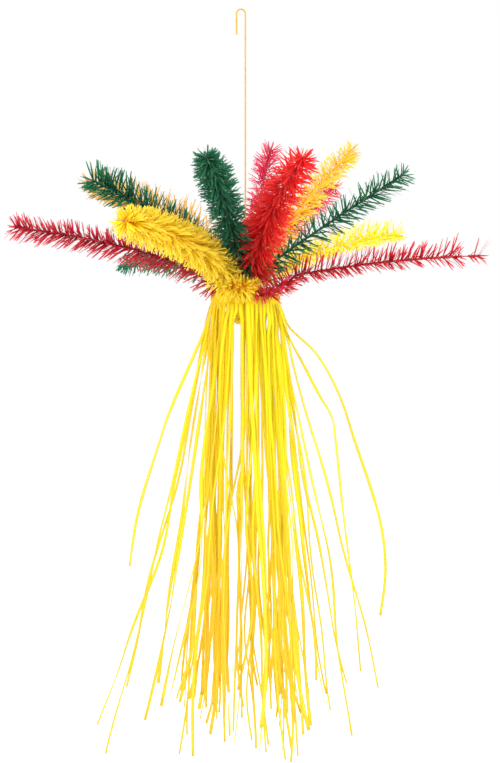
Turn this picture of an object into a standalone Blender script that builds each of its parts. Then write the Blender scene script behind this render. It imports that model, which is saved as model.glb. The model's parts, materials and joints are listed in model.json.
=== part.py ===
"""Hanging tissue spray: brush branches of fringed tissue on wires, over a skirt of cut strips.

Metres, +Z up. The origin is the point inside the hook's crown that rests on whatever the
spray hangs from. Everything else hangs below it, round the hanger wire's straight shank.
Azimuths are in degrees: 0 faces the viewer (-Y), 90 is to the right (+X).
"""
import math
import random

import bmesh
import bpy
from mathutils import Vector

# Fits
CLEARANCE = 0.0003            # between pieces that touch

# Hanger wire
HANGER_DIAMETER = 0.0020
HOOK_CLEAR_WIDTH = 0.0090     # inside the hook, leg to shank
HOOK_LEG = 0.0260             # straight free leg below the bend
HOOK_STEPS = 8                # straight steps in the hook's half circle
HANGER_SIDES = 8
HUB_DROP = 0.3425             # hook's crown to the hub, where the branches spread
HANGER_TAIL = 0.0360          # hanger wire below the hub

# Branch wires
BRANCH_WIRE_DIAMETER = 0.0016
BRANCH_TAIL = 0.0340          # bare wire bound below the hub
WIRE_SIDES = 6
INNER_RING_AZIMUTH = -120.0   # of the first tail in the ring next to the hanger wire
OUTER_RING_AZIMUTH = -145.0   # of the first tail in the ring round that one
OUTER_EXIT_DROP = 0.0014      # where the outer ring's wires turn outwards, below the hub
INNER_EXIT_RISE = 0.0040      # where the inner ring's wires turn outwards, above the hub
BEND_REACH = 0.0120           # wire used up in the bend
BEND_STEPS = 3
BRANCH_LENGTH = 0.2980        # hub to the wire's tip
SHORT_BRANCH_LENGTH = 0.2620

# Binding wire
BINDING_DIAMETER = 0.0010
BINDING_TURNS = 4
BINDING_PITCH = 0.0014
BINDING_SIDES = 9             # straight steps in a turn
BINDING_BELOW_HUB = 0.0270    # its lowest turn

# Tissue fringe on a branch
FRINGE_RADIUS = 0.0235        # wire to the blade ends
FRINGE_CORE_SHARE = 0.58      # spun core, as a share of the full radius
FRINGE_START = 0.0200         # along the branch from the hub
ROOM_SHARE = 0.46             # share of the distance to the next branch that a fringe fills
THINNEST_CORE = 0.0008        # tissue left round the wire where branches crowd
FRINGE_END_LENGTH = 0.0080    # last tuft beyond the wire's end
BLADE_LEAN = 0.0110           # how far a tuft leans to the tip
TUFT_SPREAD = (0.86, 1.0)     # how much of the full radius a tuft reaches
END_TAPER = 0.45              # the core's end against its last ring
WIRE_STEPS = 5                # straight steps in a branch wire inside its fringe
RINGS_PER_STEP = 2            # rings of tufts to each of those steps
RING_CROWDING = 1.2           # above 1, the rings stand closer together near the hub

# Skirt of tissue sheets
SHEETS_PER_LAYER = 4
STRIPS_PER_SHEET = 8
STRIP_WIDTH = 0.0050
SHEET_THICKNESS = 0.0005
SHEET_GAP_ANGLE = 4.0         # between two sheets of a layer
COLLAR_BOTTOM = 0.0150        # the collar's lower edge, below the hub
OUTER_COLLAR_TOP = 0.0065
INNER_COLLAR_TOP = 0.0090
FOLD_DROP = 0.0005            # how far the header falls from its collar to its fold
FOLD_SHARE = 0.72             # radius of the fold, as a share of the shoulder's
SHOULDER_DROP = 0.0070        # from the collar's top to the rounded shoulder
SHOULDER_SHARE = 0.96
OUTER_SHOULDER_RADIUS = 0.0435
INNER_SHOULDER_RADIUS = 0.0385
OUTER_HEADER = 0.0250         # the outer header's lower edge, below the hub
INNER_HEADER = 0.0500
SKIRT_LENGTH = 0.5970         # hub to the longest strip's end
OUTER_SPREAD = (0.076, 0.190) # radius that outer strips reach at full length
INNER_SPREAD = (0.046, 0.070)
LOOSE_FLARE = 1.30            # power of the fall: 1 spreads evenly, more spreads late
WIDE_FLARE = 1.00             # the same, for the strips that hang widest
STRIP_STEPS = 5
END_SPREAD = 0.18             # share of the full length by which the strips' ends differ
END_SKEW = 0.8                # below 1, more strips are short
SKIRT_SEED = 168

# Outer strips that hang apart: (sheet, strip) and their share of the spread, flare and end drop
LOOSE_STRIPS = {
    (3, 0): (0.98, 1.25, 0.551),
    (3, 1): (0.96, 0.70, 0.350),
    (0, 7): (1.00, 0.45, 0.414),
    (0, 6): (0.82, 0.55, 0.480),
    (0, 1): (0.08, 1.10, SKIRT_LENGTH),
}

# Skirt tie
TIE_DIAMETER = 0.0012
TIE_STEPS = 20                # straight steps round the ring
TIE_SIDES = 6

# Branches: name, azimuth, elevation of the chord, droop, length
# A branch leaves the hub at elevation + droop and ends at elevation - droop, in degrees.
BRANCHES = (
    ("red_left", -83.0, 13.5, 8.0, BRANCH_LENGTH),
    ("green_low_left", -143.0, 8.0, 10.0, BRANCH_LENGTH),
    ("yellow_front", -27.0, 10.6, 12.0, BRANCH_LENGTH),
    ("green_upper_left", -49.0, 24.5, 8.0, SHORT_BRANCH_LENGTH),
    ("yellow_back_left", -127.0, 27.0, 13.0, BRANCH_LENGTH),
    ("green_up", -9.0, 25.0, 12.0, BRANCH_LENGTH),
    ("red_up_back", 171.0, 42.0, 5.0, BRANCH_LENGTH),
    ("red_up_front", 14.0, 24.0, 12.0, BRANCH_LENGTH),
    ("yellow_up_back", 140.0, 40.0, 5.0, BRANCH_LENGTH),
    ("red_back", 151.0, 31.0, 6.0, BRANCH_LENGTH),
    ("green_right", 54.0, 27.0, 2.0, SHORT_BRANCH_LENGTH),
    ("yellow_right", 132.0, 15.5, 10.0, BRANCH_LENGTH),
    ("red_right", 76.0, 6.0, 6.0, BRANCH_LENGTH),
    ("green_back", 172.0, 14.0, 10.0, BRANCH_LENGTH),
    ("yellow_back", -165.0, 12.0, 10.0, BRANCH_LENGTH),
)
INNER_RING = ("red_up_back", "yellow_up_back", "green_right",
              "red_up_front", "green_upper_left", "yellow_back_left")

COLOURS = {
    "red": (0.62, 0.012, 0.045, 1.0),
    "green": (0.004, 0.105, 0.055, 1.0),
    "yellow": (0.90, 0.46, 0.012, 1.0),
}
SKIRT_COLOUR = (0.95, 0.72, 0.01, 1.0)
HANGER_COLOUR = (0.80, 0.42, 0.02, 1.0)
STEEL_COLOUR = (0.30, 0.29, 0.27, 1.0)
TIE_COLOUR = (0.85, 0.60, 0.03, 1.0)

# Places worked out from the sizes
HOOK_RADIUS = (HOOK_CLEAR_WIDTH + HANGER_DIAMETER) / 2
BEND_CENTRE = Vector((0.0, 0.0, HANGER_DIAMETER / 2 - HOOK_RADIUS))
HUB = Vector((HOOK_RADIUS, 0.0, -HUB_DROP))


def ring_radius(inside, wire, count):
    """Radius of a ring of wires that clears what is inside it and gives each wire room."""
    room = (wire + CLEARANCE) / (2 * math.sin(math.pi / count))
    return max(inside + CLEARANCE + wire / 2, room)


INNER_RING_RADIUS = ring_radius(HANGER_DIAMETER / 2, BRANCH_WIRE_DIAMETER, len(INNER_RING))
OUTER_RING_RADIUS = ring_radius(INNER_RING_RADIUS + BRANCH_WIRE_DIAMETER / 2,
                                BRANCH_WIRE_DIAMETER, len(BRANCHES) - len(INNER_RING))
BUNCH_RADIUS = OUTER_RING_RADIUS + BRANCH_WIRE_DIAMETER / 2
OUTER_COLLAR_RADIUS = BUNCH_RADIUS + CLEARANCE + SHEET_THICKNESS / 2
INNER_COLLAR_RADIUS = OUTER_COLLAR_RADIUS + SHEET_THICKNESS + CLEARANCE
TIE_RADIUS = INNER_COLLAR_RADIUS + SHEET_THICKNESS / 2 + CLEARANCE + TIE_DIAMETER / 2


def outward(azimuth):
    """Level unit vector at an azimuth in degrees."""
    angle = math.radians(azimuth)
    return Vector((math.sin(angle), -math.cos(angle), 0.0))


def place(azimuth, radius, drop):
    """Point at a radius from the shank's axis and a drop below the hub."""
    return HUB + outward(azimuth) * radius - Vector((0.0, 0.0, drop))


# Materials and collections


def make_material(name, colour, roughness, metallic=0.0):
    material = bpy.data.materials.new(name)
    material.use_nodes = True
    shader = material.node_tree.nodes["Principled BSDF"]
    shader.inputs["Base Color"].default_value = colour
    shader.inputs["Roughness"].default_value = roughness
    shader.inputs["Metallic"].default_value = metallic
    material.diffuse_color = colour
    return material


def add_object(name, mesh, material, smooth):
    """Put a finished mesh in the object's collection."""
    mesh.materials.clear()
    mesh.materials.append(material)
    if smooth:
        mesh.shade_smooth()
    piece = bpy.data.objects.new(name, mesh)
    bpy.data.collections["tissue_spray"].objects.link(piece)
    return piece


# Tubes along a path


def tube_mesh(name, points, radii, sides, twist=0.0, capped=True):
    """Mesh of a bevelled POLY curve, one radius for each point, turned by twist a point."""
    data = bpy.data.curves.new(name, "CURVE")
    data.dimensions = "3D"
    data.twist_mode = "MINIMUM"
    data.bevel_depth = 1.0
    data.bevel_resolution = (sides - 4) // 2
    data.use_fill_caps = capped
    spline = data.splines.new("POLY")
    spline.points.add(len(points) - 1)
    for index, (point, radius) in enumerate(zip(points, radii)):
        spline.points[index].co = (*point, 1.0)
        spline.points[index].radius = radius
        spline.points[index].tilt = math.radians(twist) * index
    guide = bpy.data.objects.new(name, data)
    bpy.context.scene.collection.objects.link(guide)
    bpy.context.view_layer.update()
    evaluated = guide.evaluated_get(bpy.context.evaluated_depsgraph_get())
    mesh = bpy.data.meshes.new_from_object(evaluated)
    mesh.transform(guide.matrix_world)
    bpy.data.objects.remove(guide)
    bpy.data.curves.remove(data)
    shell = bmesh.new()
    shell.from_mesh(mesh)
    bmesh.ops.remove_doubles(shell, verts=shell.verts, dist=0.00001)
    shell.to_mesh(mesh)
    shell.free()
    return mesh


def wire(name, points, diameter, sides, material):
    """A round wire of one diameter."""
    mesh = tube_mesh(name, points, [diameter / 2] * len(points), sides)
    return add_object(name, mesh, material, smooth=True)


# Hanger wire


def make_hanger(material):
    points = [BEND_CENTRE + Vector((-HOOK_RADIUS, 0.0, -HOOK_LEG))]
    for step in range(HOOK_STEPS + 1):
        angle = math.pi - math.pi * step / HOOK_STEPS
        points.append(BEND_CENTRE + Vector((math.cos(angle), 0.0, math.sin(angle))) * HOOK_RADIUS)
    points.append(HUB - Vector((0.0, 0.0, HANGER_TAIL)))
    return wire("hanger_wire", points, HANGER_DIAMETER, HANGER_SIDES, material)


# Branches


def branch_slots():
    """Where each branch wire stands in the bunch: name -> (slot azimuth, radius, exit height)."""
    slots = {}
    inner = sorted((b for b in BRANCHES if b[0] in INNER_RING), key=lambda b: b[1])
    outer = sorted((b for b in BRANCHES if b[0] not in INNER_RING), key=lambda b: b[1])
    rings = (
        (inner, INNER_RING_RADIUS, INNER_EXIT_RISE, INNER_RING_AZIMUTH),
        (outer, OUTER_RING_RADIUS, -OUTER_EXIT_DROP, OUTER_RING_AZIMUTH),
    )
    for ring, radius, height, first in rings:
        pitch = 360.0 / len(ring)
        for index, branch in enumerate(ring):
            slots[branch[0]] = (first + pitch * index, radius, height)
    return slots


SLOTS = branch_slots()


def branch_point(branch, distance):
    """Point on a branch's drooping arc, a distance along it from the hub."""
    name, azimuth, elevation, droop, length = branch
    _, radius, height = SLOTS[name]
    start = math.radians(elevation + droop)
    bend = math.radians(2 * droop) / length
    now = start - bend * distance
    run = (math.sin(start) - math.sin(now)) / bend
    rise = (math.cos(now) - math.cos(start)) / bend
    return HUB + outward(azimuth) * (radius + run) + Vector((0.0, 0.0, height + rise))


def branch_route(branch):
    """Wire centreline: tail in the bunch, bend at the hub, then the arc to the tip."""
    slot_azimuth, radius, height = SLOTS[branch[0]]
    tail_end = place(slot_azimuth, radius, BRANCH_TAIL)
    tail_top = place(slot_azimuth, radius, BEND_REACH / 2 - height)
    corner = place(slot_azimuth, radius, -height)
    leave = branch_point(branch, BEND_REACH)
    route = [tail_end, tail_top]
    for step in range(1, BEND_STEPS):
        t = step / BEND_STEPS
        route.append(tail_top * (1 - t) ** 2 + corner * 2 * t * (1 - t) + leave * t ** 2)
    route.append(leave)
    return route + arc_points(branch, WIRE_STEPS)


def arc_points(branch, steps):
    """Points on a branch's arc from its fringe's start to the wire's tip, closer at the hub."""
    reach = branch[4] - FRINGE_START
    shares = [(index / steps) ** RING_CROWDING for index in range(steps + 1)]
    return [branch_point(branch, FRINGE_START + reach * share) for share in shares]


def distance_to_line(point, start, end):
    """Distance from a point to a straight piece of another centreline."""
    along = end - start
    share = max(0.0, min(1.0, (point - start).dot(along) / along.length_squared))
    return (point - start - along * share).length


def room_at(point, branch):
    """Radius that a fringe may fill at a point, almost half way to its nearest neighbour."""
    nearest = distance_to_line(point, HUB, Vector((HUB.x, 0.0, 0.0)))
    for other in BRANCHES:
        if other is branch:
            continue
        arc = arc_points(other, WIRE_STEPS)
        for start, end in zip(arc, arc[1:]):
            nearest = min(nearest, distance_to_line(point, start, end))
    room = nearest * ROOM_SHARE - CLEARANCE
    level = math.hypot(point.x - HUB.x, point.y)
    if level < OUTER_SHOULDER_RADIUS + FRINGE_RADIUS:
        above_skirt = point.z - (HUB.z - OUTER_COLLAR_TOP) - CLEARANCE - SHEET_THICKNESS
        room = min(room, above_skirt)
    return room


def join_meshes(outer, inner, name):
    """One closed wall from an open outer tube and an open bore through it."""
    shell = bmesh.new()
    shell.from_mesh(inner)
    bmesh.ops.reverse_faces(shell, faces=shell.faces)
    shell.from_mesh(outer)
    rims = [edge for edge in shell.edges if edge.is_boundary]
    ends = {True: [], False: []}
    hub_side = [(edge, ((edge.verts[0].co + edge.verts[1].co) / 2 - HUB).length) for edge in rims]
    middle = sum(distance for _, distance in hub_side) / len(hub_side)
    for edge, distance in hub_side:
        ends[distance < middle].append(edge)
    for edges in ends.values():
        bmesh.ops.bridge_loops(shell, edges=edges)
    bmesh.ops.recalc_face_normals(shell, faces=shell.faces)
    mesh = bpy.data.meshes.new(name)
    shell.to_mesh(mesh)
    shell.free()
    return mesh


def make_fringe(branch, material, seed):
    """Spun tissue: a core round the wire whose faces stand up as tufts that lean to the tip."""
    name = branch[0]
    bore = (BRANCH_WIRE_DIAMETER / 2 + CLEARANCE) / math.cos(math.pi / WIRE_SIDES)
    bore_line = arc_points(branch, WIRE_STEPS)
    past_tip = (bore_line[-1] - bore_line[-2]).normalized() * FRINGE_END_LENGTH
    bore_line.append(bore_line[-1] + past_tip)
    line = arc_points(branch, WIRE_STEPS * RINGS_PER_STEP)
    line.append(line[-1] + past_tip)
    full = [min(FRINGE_RADIUS, room_at(point, branch)) for point in line]
    core = [max(radius * FRINGE_CORE_SHARE, bore + THINNEST_CORE) for radius in full]
    core[-1] *= END_TAPER
    outer = tube_mesh(name, line, core, WIRE_SIDES, twist=180.0 / WIRE_SIDES, capped=False)
    raise_tufts(outer, line, full, random.Random(seed))
    inner = tube_mesh(name, bore_line, [bore] * len(bore_line), WIRE_SIDES, capped=False)
    mesh = join_meshes(outer, inner, "fringe_" + name)
    return add_object("fringe_" + name, mesh, material, smooth=False)


def raise_tufts(mesh, line, full, rng):
    """Poke each face of the spun core outwards into a tuft that leans to the tip."""
    shell = bmesh.new()
    shell.from_mesh(mesh)
    for tuft in bmesh.ops.poke(shell, faces=list(shell.faces))["verts"]:
        step = min(range(len(line) - 1),
                   key=lambda i: ((line[i] + line[i + 1]) / 2 - tuft.co).length)
        along = (line[step + 1] - line[step]).normalized()
        arm = tuft.co - line[step]
        arm -= along * arm.dot(along)
        radius = min(full[step], full[step + 1]) * rng.uniform(*TUFT_SPREAD)
        if radius > arm.length:
            lean = along * BLADE_LEAN * radius / FRINGE_RADIUS
            tuft.co += arm.normalized() * (radius - arm.length) + lean
    shell.to_mesh(mesh)
    shell.free()


def make_branches(materials, steel):
    for index, branch in enumerate(BRANCHES):
        name = branch[0]
        route = branch_route(branch)
        wire("branch_wire_" + name, route, BRANCH_WIRE_DIAMETER, WIRE_SIDES, steel)
        make_fringe(branch, materials[name.split("_")[0]], index)


# Bindings


def make_binding(material):
    """Wire wound round the tails, below the collar of the skirt."""
    radius = (BUNCH_RADIUS + CLEARANCE) / math.cos(math.pi / BINDING_SIDES) + BINDING_DIAMETER / 2
    points = []
    for index in range(BINDING_TURNS * BINDING_SIDES + 1):
        drop = BINDING_BELOW_HUB - BINDING_PITCH * index / BINDING_SIDES
        points.append(place(360.0 * index / BINDING_SIDES, radius, drop))
    wire("binding_wire", points, BINDING_DIAMETER, WIRE_SIDES, material)


def make_tie(material):
    """Ring of twine that holds both layers of the skirt's collar."""
    bpy.ops.mesh.primitive_torus_add(major_segments=TIE_STEPS, minor_segments=TIE_SIDES,
                                     major_radius=TIE_RADIUS / math.cos(math.pi / TIE_STEPS),
                                     minor_radius=TIE_DIAMETER / 2,
                                     location=place(0.0, 0.0, COLLAR_BOTTOM - TIE_DIAMETER))
    piece = bpy.context.object
    mesh = piece.data
    mesh.transform(piece.matrix_world)
    bpy.data.objects.remove(piece)
    add_object("skirt_tie", mesh, material, smooth=True)


# Skirt


def layer_profile(outer):
    """Header of a layer as (radius, drop): collar, fold, shoulder, lower edge."""
    if outer:
        collar, top = OUTER_COLLAR_RADIUS, OUTER_COLLAR_TOP
        shoulder, edge = OUTER_SHOULDER_RADIUS, OUTER_HEADER
    else:
        collar, top = INNER_COLLAR_RADIUS, INNER_COLLAR_TOP
        shoulder, edge = INNER_SHOULDER_RADIUS, INNER_HEADER
    return (
        (collar, COLLAR_BOTTOM),
        (collar, top),
        (shoulder * FOLD_SHARE, top + FOLD_DROP),
        (shoulder * SHOULDER_SHARE, top + SHOULDER_DROP),
        (shoulder, edge),
    )


def strip_radius(outer, share, flare, drop):
    """Radius of a strip's path at a drop, for a strip whose spread is a share of its range."""
    low, high = OUTER_SPREAD if outer else INNER_SPREAD
    start = OUTER_SHOULDER_RADIUS if outer else INNER_SHOULDER_RADIUS
    edge = OUTER_HEADER if outer else INNER_HEADER
    fall = (drop - edge) / (SKIRT_LENGTH - edge)
    return start + (low + (high - low) * share - start) * fall ** flare


def make_sheet(name, outer, index, material, seed):
    """A flat sheet, slit into strips below its header, then gathered and hung."""
    rng = random.Random(seed)
    profile = layer_profile(outer)
    header_rows = len(profile) - 1
    rows = header_rows + STRIP_STEPS
    sheet = bmesh.new()
    bmesh.ops.create_grid(sheet, x_segments=STRIPS_PER_SHEET, y_segments=rows, size=0.5)
    slits = []
    for edge in sheet.edges:
        first, second = edge.verts
        runs_down = abs(first.co.x - second.co.x) < 0.001
        below = (0.5 - (first.co.y + second.co.y) / 2) * rows > header_rows
        if runs_down and below and not edge.is_boundary:
            slits.append(edge)
    bmesh.ops.split_edges(sheet, edges=slits)
    pitch = (360.0 / SHEETS_PER_LAYER - SHEET_GAP_ANGLE) / STRIPS_PER_SHEET
    first_azimuth = 360.0 * (index + (0.0 if outer else 0.5)) / SHEETS_PER_LAYER
    spreads = [rng.random() for _ in range(STRIPS_PER_SHEET)]
    flares = [LOOSE_FLARE + (WIDE_FLARE - LOOSE_FLARE) * spread for spread in spreads]
    ends = [SKIRT_LENGTH * (1.0 - END_SPREAD * rng.random() ** END_SKEW)
            for _ in range(STRIPS_PER_SHEET)]
    for (sheet_index, strip), (spread, flare, end) in LOOSE_STRIPS.items():
        if outer and sheet_index == index:
            spreads[strip], flares[strip], ends[strip] = spread, flare, end
    places = {}
    for corner in sheet.verts:
        row = round((0.5 - corner.co.y) * rows)
        column = (corner.co.x + 0.5) * STRIPS_PER_SHEET
        if row <= header_rows:
            radius, drop = profile[row]
            places[corner] = place(first_azimuth + pitch * column, radius, drop)
            continue
        strip = int(corner.link_faces[0].calc_center_median().x * STRIPS_PER_SHEET
                    + STRIPS_PER_SHEET / 2)
        side = 1.0 if column > strip + 0.5 else -1.0
        edge = profile[-1][1]
        drop = edge + (ends[strip] - edge) * (row - header_rows) / STRIP_STEPS
        azimuth = first_azimuth + pitch * (strip + 0.5)
        radius = strip_radius(outer, spreads[strip], flares[strip], drop)
        centre = place(azimuth, radius, drop)
        places[corner] = centre + outward(azimuth + 90.0) * side * STRIP_WIDTH / 2
    for corner, spot in places.items():
        corner.co = spot
    mesh = bpy.data.meshes.new(name)
    sheet.to_mesh(mesh)
    sheet.free()
    piece = add_object(name, mesh, material, smooth=False)
    wall = piece.modifiers.new("tissue", "SOLIDIFY")
    wall.thickness = SHEET_THICKNESS
    wall.offset = 0.0
    return piece


def make_skirt(material):
    for outer, layer in ((True, "outer"), (False, "inner")):
        for index in range(SHEETS_PER_LAYER):
            seed = SKIRT_SEED + index + (0 if outer else SHEETS_PER_LAYER)
            make_sheet("skirt_sheet_%s_%d" % (layer, index + 1), outer, index, material, seed)


# Whole object


def main():
    for old in list(bpy.data.objects):
        bpy.data.objects.remove(old)
    spray = bpy.data.collections.new("tissue_spray")
    bpy.context.scene.collection.children.link(spray)
    tissues = {name: make_material(name + "_tissue", colour, 0.85)
               for name, colour in COLOURS.items()}
    steel = make_material("branch_wire_steel", STEEL_COLOUR, 0.45, 0.9)
    make_hanger(make_material("yellow_coated_wire", HANGER_COLOUR, 0.35))
    make_branches(tissues, steel)
    make_binding(steel)
    make_tie(make_material("yellow_twine", TIE_COLOUR, 0.9))
    make_skirt(make_material("skirt_tissue", SKIRT_COLOUR, 0.8))


main()
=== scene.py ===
"""Hanging tissue spray: the looks of its wires, spun fringes and skirt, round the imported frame.

Metres, +Z up, as in the frame. Azimuths are in degrees: 0 faces the viewer (-Y), 90 is to the
right (+X). Drops are measured down from the hub, where the branches leave the hanger wire.
"""
import json
import math
import random
from collections import namedtuple

import bmesh
import bpy
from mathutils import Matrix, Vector, noise

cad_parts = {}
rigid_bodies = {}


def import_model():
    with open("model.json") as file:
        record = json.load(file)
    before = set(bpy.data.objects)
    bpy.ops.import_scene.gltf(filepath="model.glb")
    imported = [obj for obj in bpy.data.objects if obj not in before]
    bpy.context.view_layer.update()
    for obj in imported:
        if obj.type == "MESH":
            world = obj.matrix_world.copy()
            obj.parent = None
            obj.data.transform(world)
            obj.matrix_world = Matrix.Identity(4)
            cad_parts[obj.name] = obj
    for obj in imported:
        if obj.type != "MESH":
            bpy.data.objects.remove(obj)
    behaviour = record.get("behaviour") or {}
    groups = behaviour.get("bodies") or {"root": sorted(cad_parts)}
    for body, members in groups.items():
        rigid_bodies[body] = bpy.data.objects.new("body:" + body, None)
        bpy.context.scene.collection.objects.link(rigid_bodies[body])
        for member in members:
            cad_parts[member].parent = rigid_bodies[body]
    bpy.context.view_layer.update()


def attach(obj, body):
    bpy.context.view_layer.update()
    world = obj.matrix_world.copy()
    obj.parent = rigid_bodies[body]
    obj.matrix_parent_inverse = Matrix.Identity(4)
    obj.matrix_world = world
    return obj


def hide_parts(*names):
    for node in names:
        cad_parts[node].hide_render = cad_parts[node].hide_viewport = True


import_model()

bl_info = {
    "name": "Hanging tissue spray",
    "version": (1, 0, 0),
    "blender": (4, 5, 0),
    "location": "View3D > Sidebar > Tissue Spray",
    "description": "Spun tissue branches over a fringed skirt on a hooked wire",
    "category": "Add Mesh",
}

# Wires, as in the frame
HANGER_DIAMETER = 0.0020
HOOK_CLEAR_WIDTH = 0.0090
HOOK_LEG = 0.0260
HUB_DROP = 0.3425
HANGER_TAIL = 0.0360
BRANCH_WIRE_DIAMETER = 0.0016
BRANCH_TAIL = 0.0340
BEND_REACH = 0.0120
INNER_RING_RADIUS = 0.0021
OUTER_RING_RADIUS = 0.0040
INNER_RING_AZIMUTH = -120.0
OUTER_RING_AZIMUTH = -145.0
INNER_EXIT_RISE = 0.0040
OUTER_EXIT_DROP = 0.0014
BRANCH_LENGTH = 0.2980
SHORT_BRANCH_LENGTH = 0.2620
BINDING_DIAMETER = 0.0010
BINDING_RADIUS = 0.0059
BINDING_TURNS = 4
BINDING_PITCH = 0.0014
BINDING_BELOW_HUB = 0.0270
TIE_DIAMETER = 0.0012
TIE_RADIUS = 0.0073
TIE_DROP = 0.0138

# Fineness of the wires' lines, and the twine of the tie
BEND_STEPS = 8
ARC_STEPS = 40
COIL_STEPS = 24                # in one turn of the binding
TIE_STEPS = 64
TWINE_STRANDS = 3
TWINE_STRAND_RADIUS = 0.27     # as a share of the tie's diameter
TWINE_STRAND_OFFSET = 0.25     # as a share of the tie's diameter
TWINE_TURNS = 12               # turns of the twine round the tie's ring

# Branches: the elevation is that of the chord, the droop is to either side of it
Branch = namedtuple("Branch", "name azimuth elevation droop length")
BRANCHES = tuple(Branch(*row) for row in (
    ("red_left", -83.0, 13.5, 8.0, BRANCH_LENGTH),
    ("green_low_left", -143.0, 8.0, 10.0, BRANCH_LENGTH),
    ("yellow_front", -27.0, 10.6, 12.0, BRANCH_LENGTH),
    ("green_upper_left", -49.0, 24.5, 8.0, SHORT_BRANCH_LENGTH),
    ("yellow_back_left", -127.0, 27.0, 13.0, BRANCH_LENGTH),
    ("green_up", -9.0, 25.0, 12.0, BRANCH_LENGTH),
    ("red_up_back", 171.0, 42.0, 5.0, BRANCH_LENGTH),
    ("red_up_front", 14.0, 24.0, 12.0, BRANCH_LENGTH),
    ("yellow_up_back", 140.0, 40.0, 5.0, BRANCH_LENGTH),
    ("red_back", 151.0, 31.0, 6.0, BRANCH_LENGTH),
    ("green_right", 54.0, 27.0, 2.0, SHORT_BRANCH_LENGTH),
    ("yellow_right", 132.0, 15.5, 10.0, BRANCH_LENGTH),
    ("red_right", 76.0, 6.0, 6.0, BRANCH_LENGTH),
    ("green_back", 172.0, 14.0, 10.0, BRANCH_LENGTH),
    ("yellow_back", -165.0, 12.0, 10.0, BRANCH_LENGTH),
))
INNER_RING = ("red_up_back", "yellow_up_back", "green_right",
              "red_up_front", "green_upper_left", "yellow_back_left")
BARE_BRANCH = "red_right"      # its wire is bare, and lacquered, for a stretch near the tip

# How full each fringe is: (share of its line, share of the full blade length)
USUAL_FULLNESS = ((0.0, 0.80), (0.15, 1.0), (0.88, 1.0), (1.0, 0.72))
FULLNESS = {
    "red_right": ((0.0, 0.52), (0.12, 0.60), (0.2, 0.90), (0.84, 0.78), (0.87, 1.05), (0.915, 1.05),
                  (0.92, 0.0), (0.955, 0.0), (0.96, 0.85), (1.0, 0.85)),
    "yellow_front": ((0.0, 0.48), (0.06, 0.66), (0.12, 0.82), (0.22, 1.0), (0.35, 1.10),
                     (0.9, 1.05), (1.0, 0.75)),
    "red_up_front": ((0.0, 1.2), (0.3, 1.28), (0.5, 1.15), (0.9, 1.05), (1.0, 0.7)),
    "green_up": ((0.0, 0.80), (0.15, 1.0), (0.85, 1.0), (1.0, 0.65)),
    "green_upper_left": ((0.0, 0.9), (0.2, 1.1), (0.9, 1.15), (1.0, 0.9)),
    "red_left": ((0.0, 0.9), (0.15, 1.1), (0.45, 1.1), (0.6, 0.95), (1.0, 0.9)),
    "yellow_back_left": ((0.0, 1.1), (0.15, 1.6), (0.35, 1.5), (0.6, 1.25), (1.0, 1.05)),
    "green_low_left": ((0.0, 0.80), (0.9, 0.85), (0.96, 0.6), (1.0, 0.5)),
    "yellow_right": ((0.0, 0.9), (0.9, 0.95), (1.0, 0.6)),
}

# How many blades a fringe has, against the usual
BLADE_SHARE = {"yellow_front": 3.6, "red_up_front": 3.2, "green_up": 2.6, "yellow_right": 1.6,
               "yellow_back_left": 1.6, "yellow_up_back": 1.4, "red_up_back": 1.2,
               "green_upper_left": 1.6, "red_left": 1.5, "red_right": 2.0, "green_right": 0.9}

# Inputs of the spun fringe that differ from branch to branch
FRINGE_INPUTS = {
    "yellow_front": {"Spiral Spread": 3.1, "Lean Spread": 0.75, "Blade Width": 1.40,
                     "Hub Lean": 1.70, "Tip Lean": 1.50, "Shortest Blade": 0.85},
    "red_up_front": {"Spiral Spread": 1.8, "Lean Spread": 0.36, "Hub Lean": 1.65,
                     "Tip Lean": 1.25, "Tip Thinning": 0.72, "Blade Width": 1.15},
    "green_up": {"Spiral Spread": 3.1, "Lean Spread": 0.42, "Hub Lean": 1.45, "Tip Lean": 1.20},
    "green_upper_left": {"Blade Width": 1.1, "Upper Length": 0.10},
    "yellow_back_left": {"Upper Length": 0.25},
    "yellow_right": {"Upper Length": 0.30, "Tip Thinning": 0.2},
    "red_up_back": {"Blade Width": 0.75},
    "red_back": {"Blade Width": 0.75},
    "red_right": {"Blade Width": 0.85, "Tip Thinning": 0.55, "Upper Length": 0.20},
}

# Fringes whose first turns lie over the gathered header: (azimuth, radius, rise above the hub)
LAPS = {
    "yellow_front": ((19.0, 0.034, -0.004), (9.0, 0.043, -0.006), (-4.0, 0.049, -0.006),
                     (-17.0, 0.052, -0.004), (-31.0, 0.053, 0.001)),
    "red_right": ((14.0, 0.050, -0.012), (24.0, 0.052, -0.018), (30.0, 0.051, -0.011),
                  (40.0, 0.052, -0.017), (46.0, 0.051, -0.009), (66.0, 0.054, -0.002)),
    "red_left": ((-50.0, 0.040, -0.004), (-70.0, 0.046, 0.002)),
}
LAP_STEPS = 8                  # between two points of a lap
LAP_JOINS = 0.062              # along the branch from the hub, where a lap meets it

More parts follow.
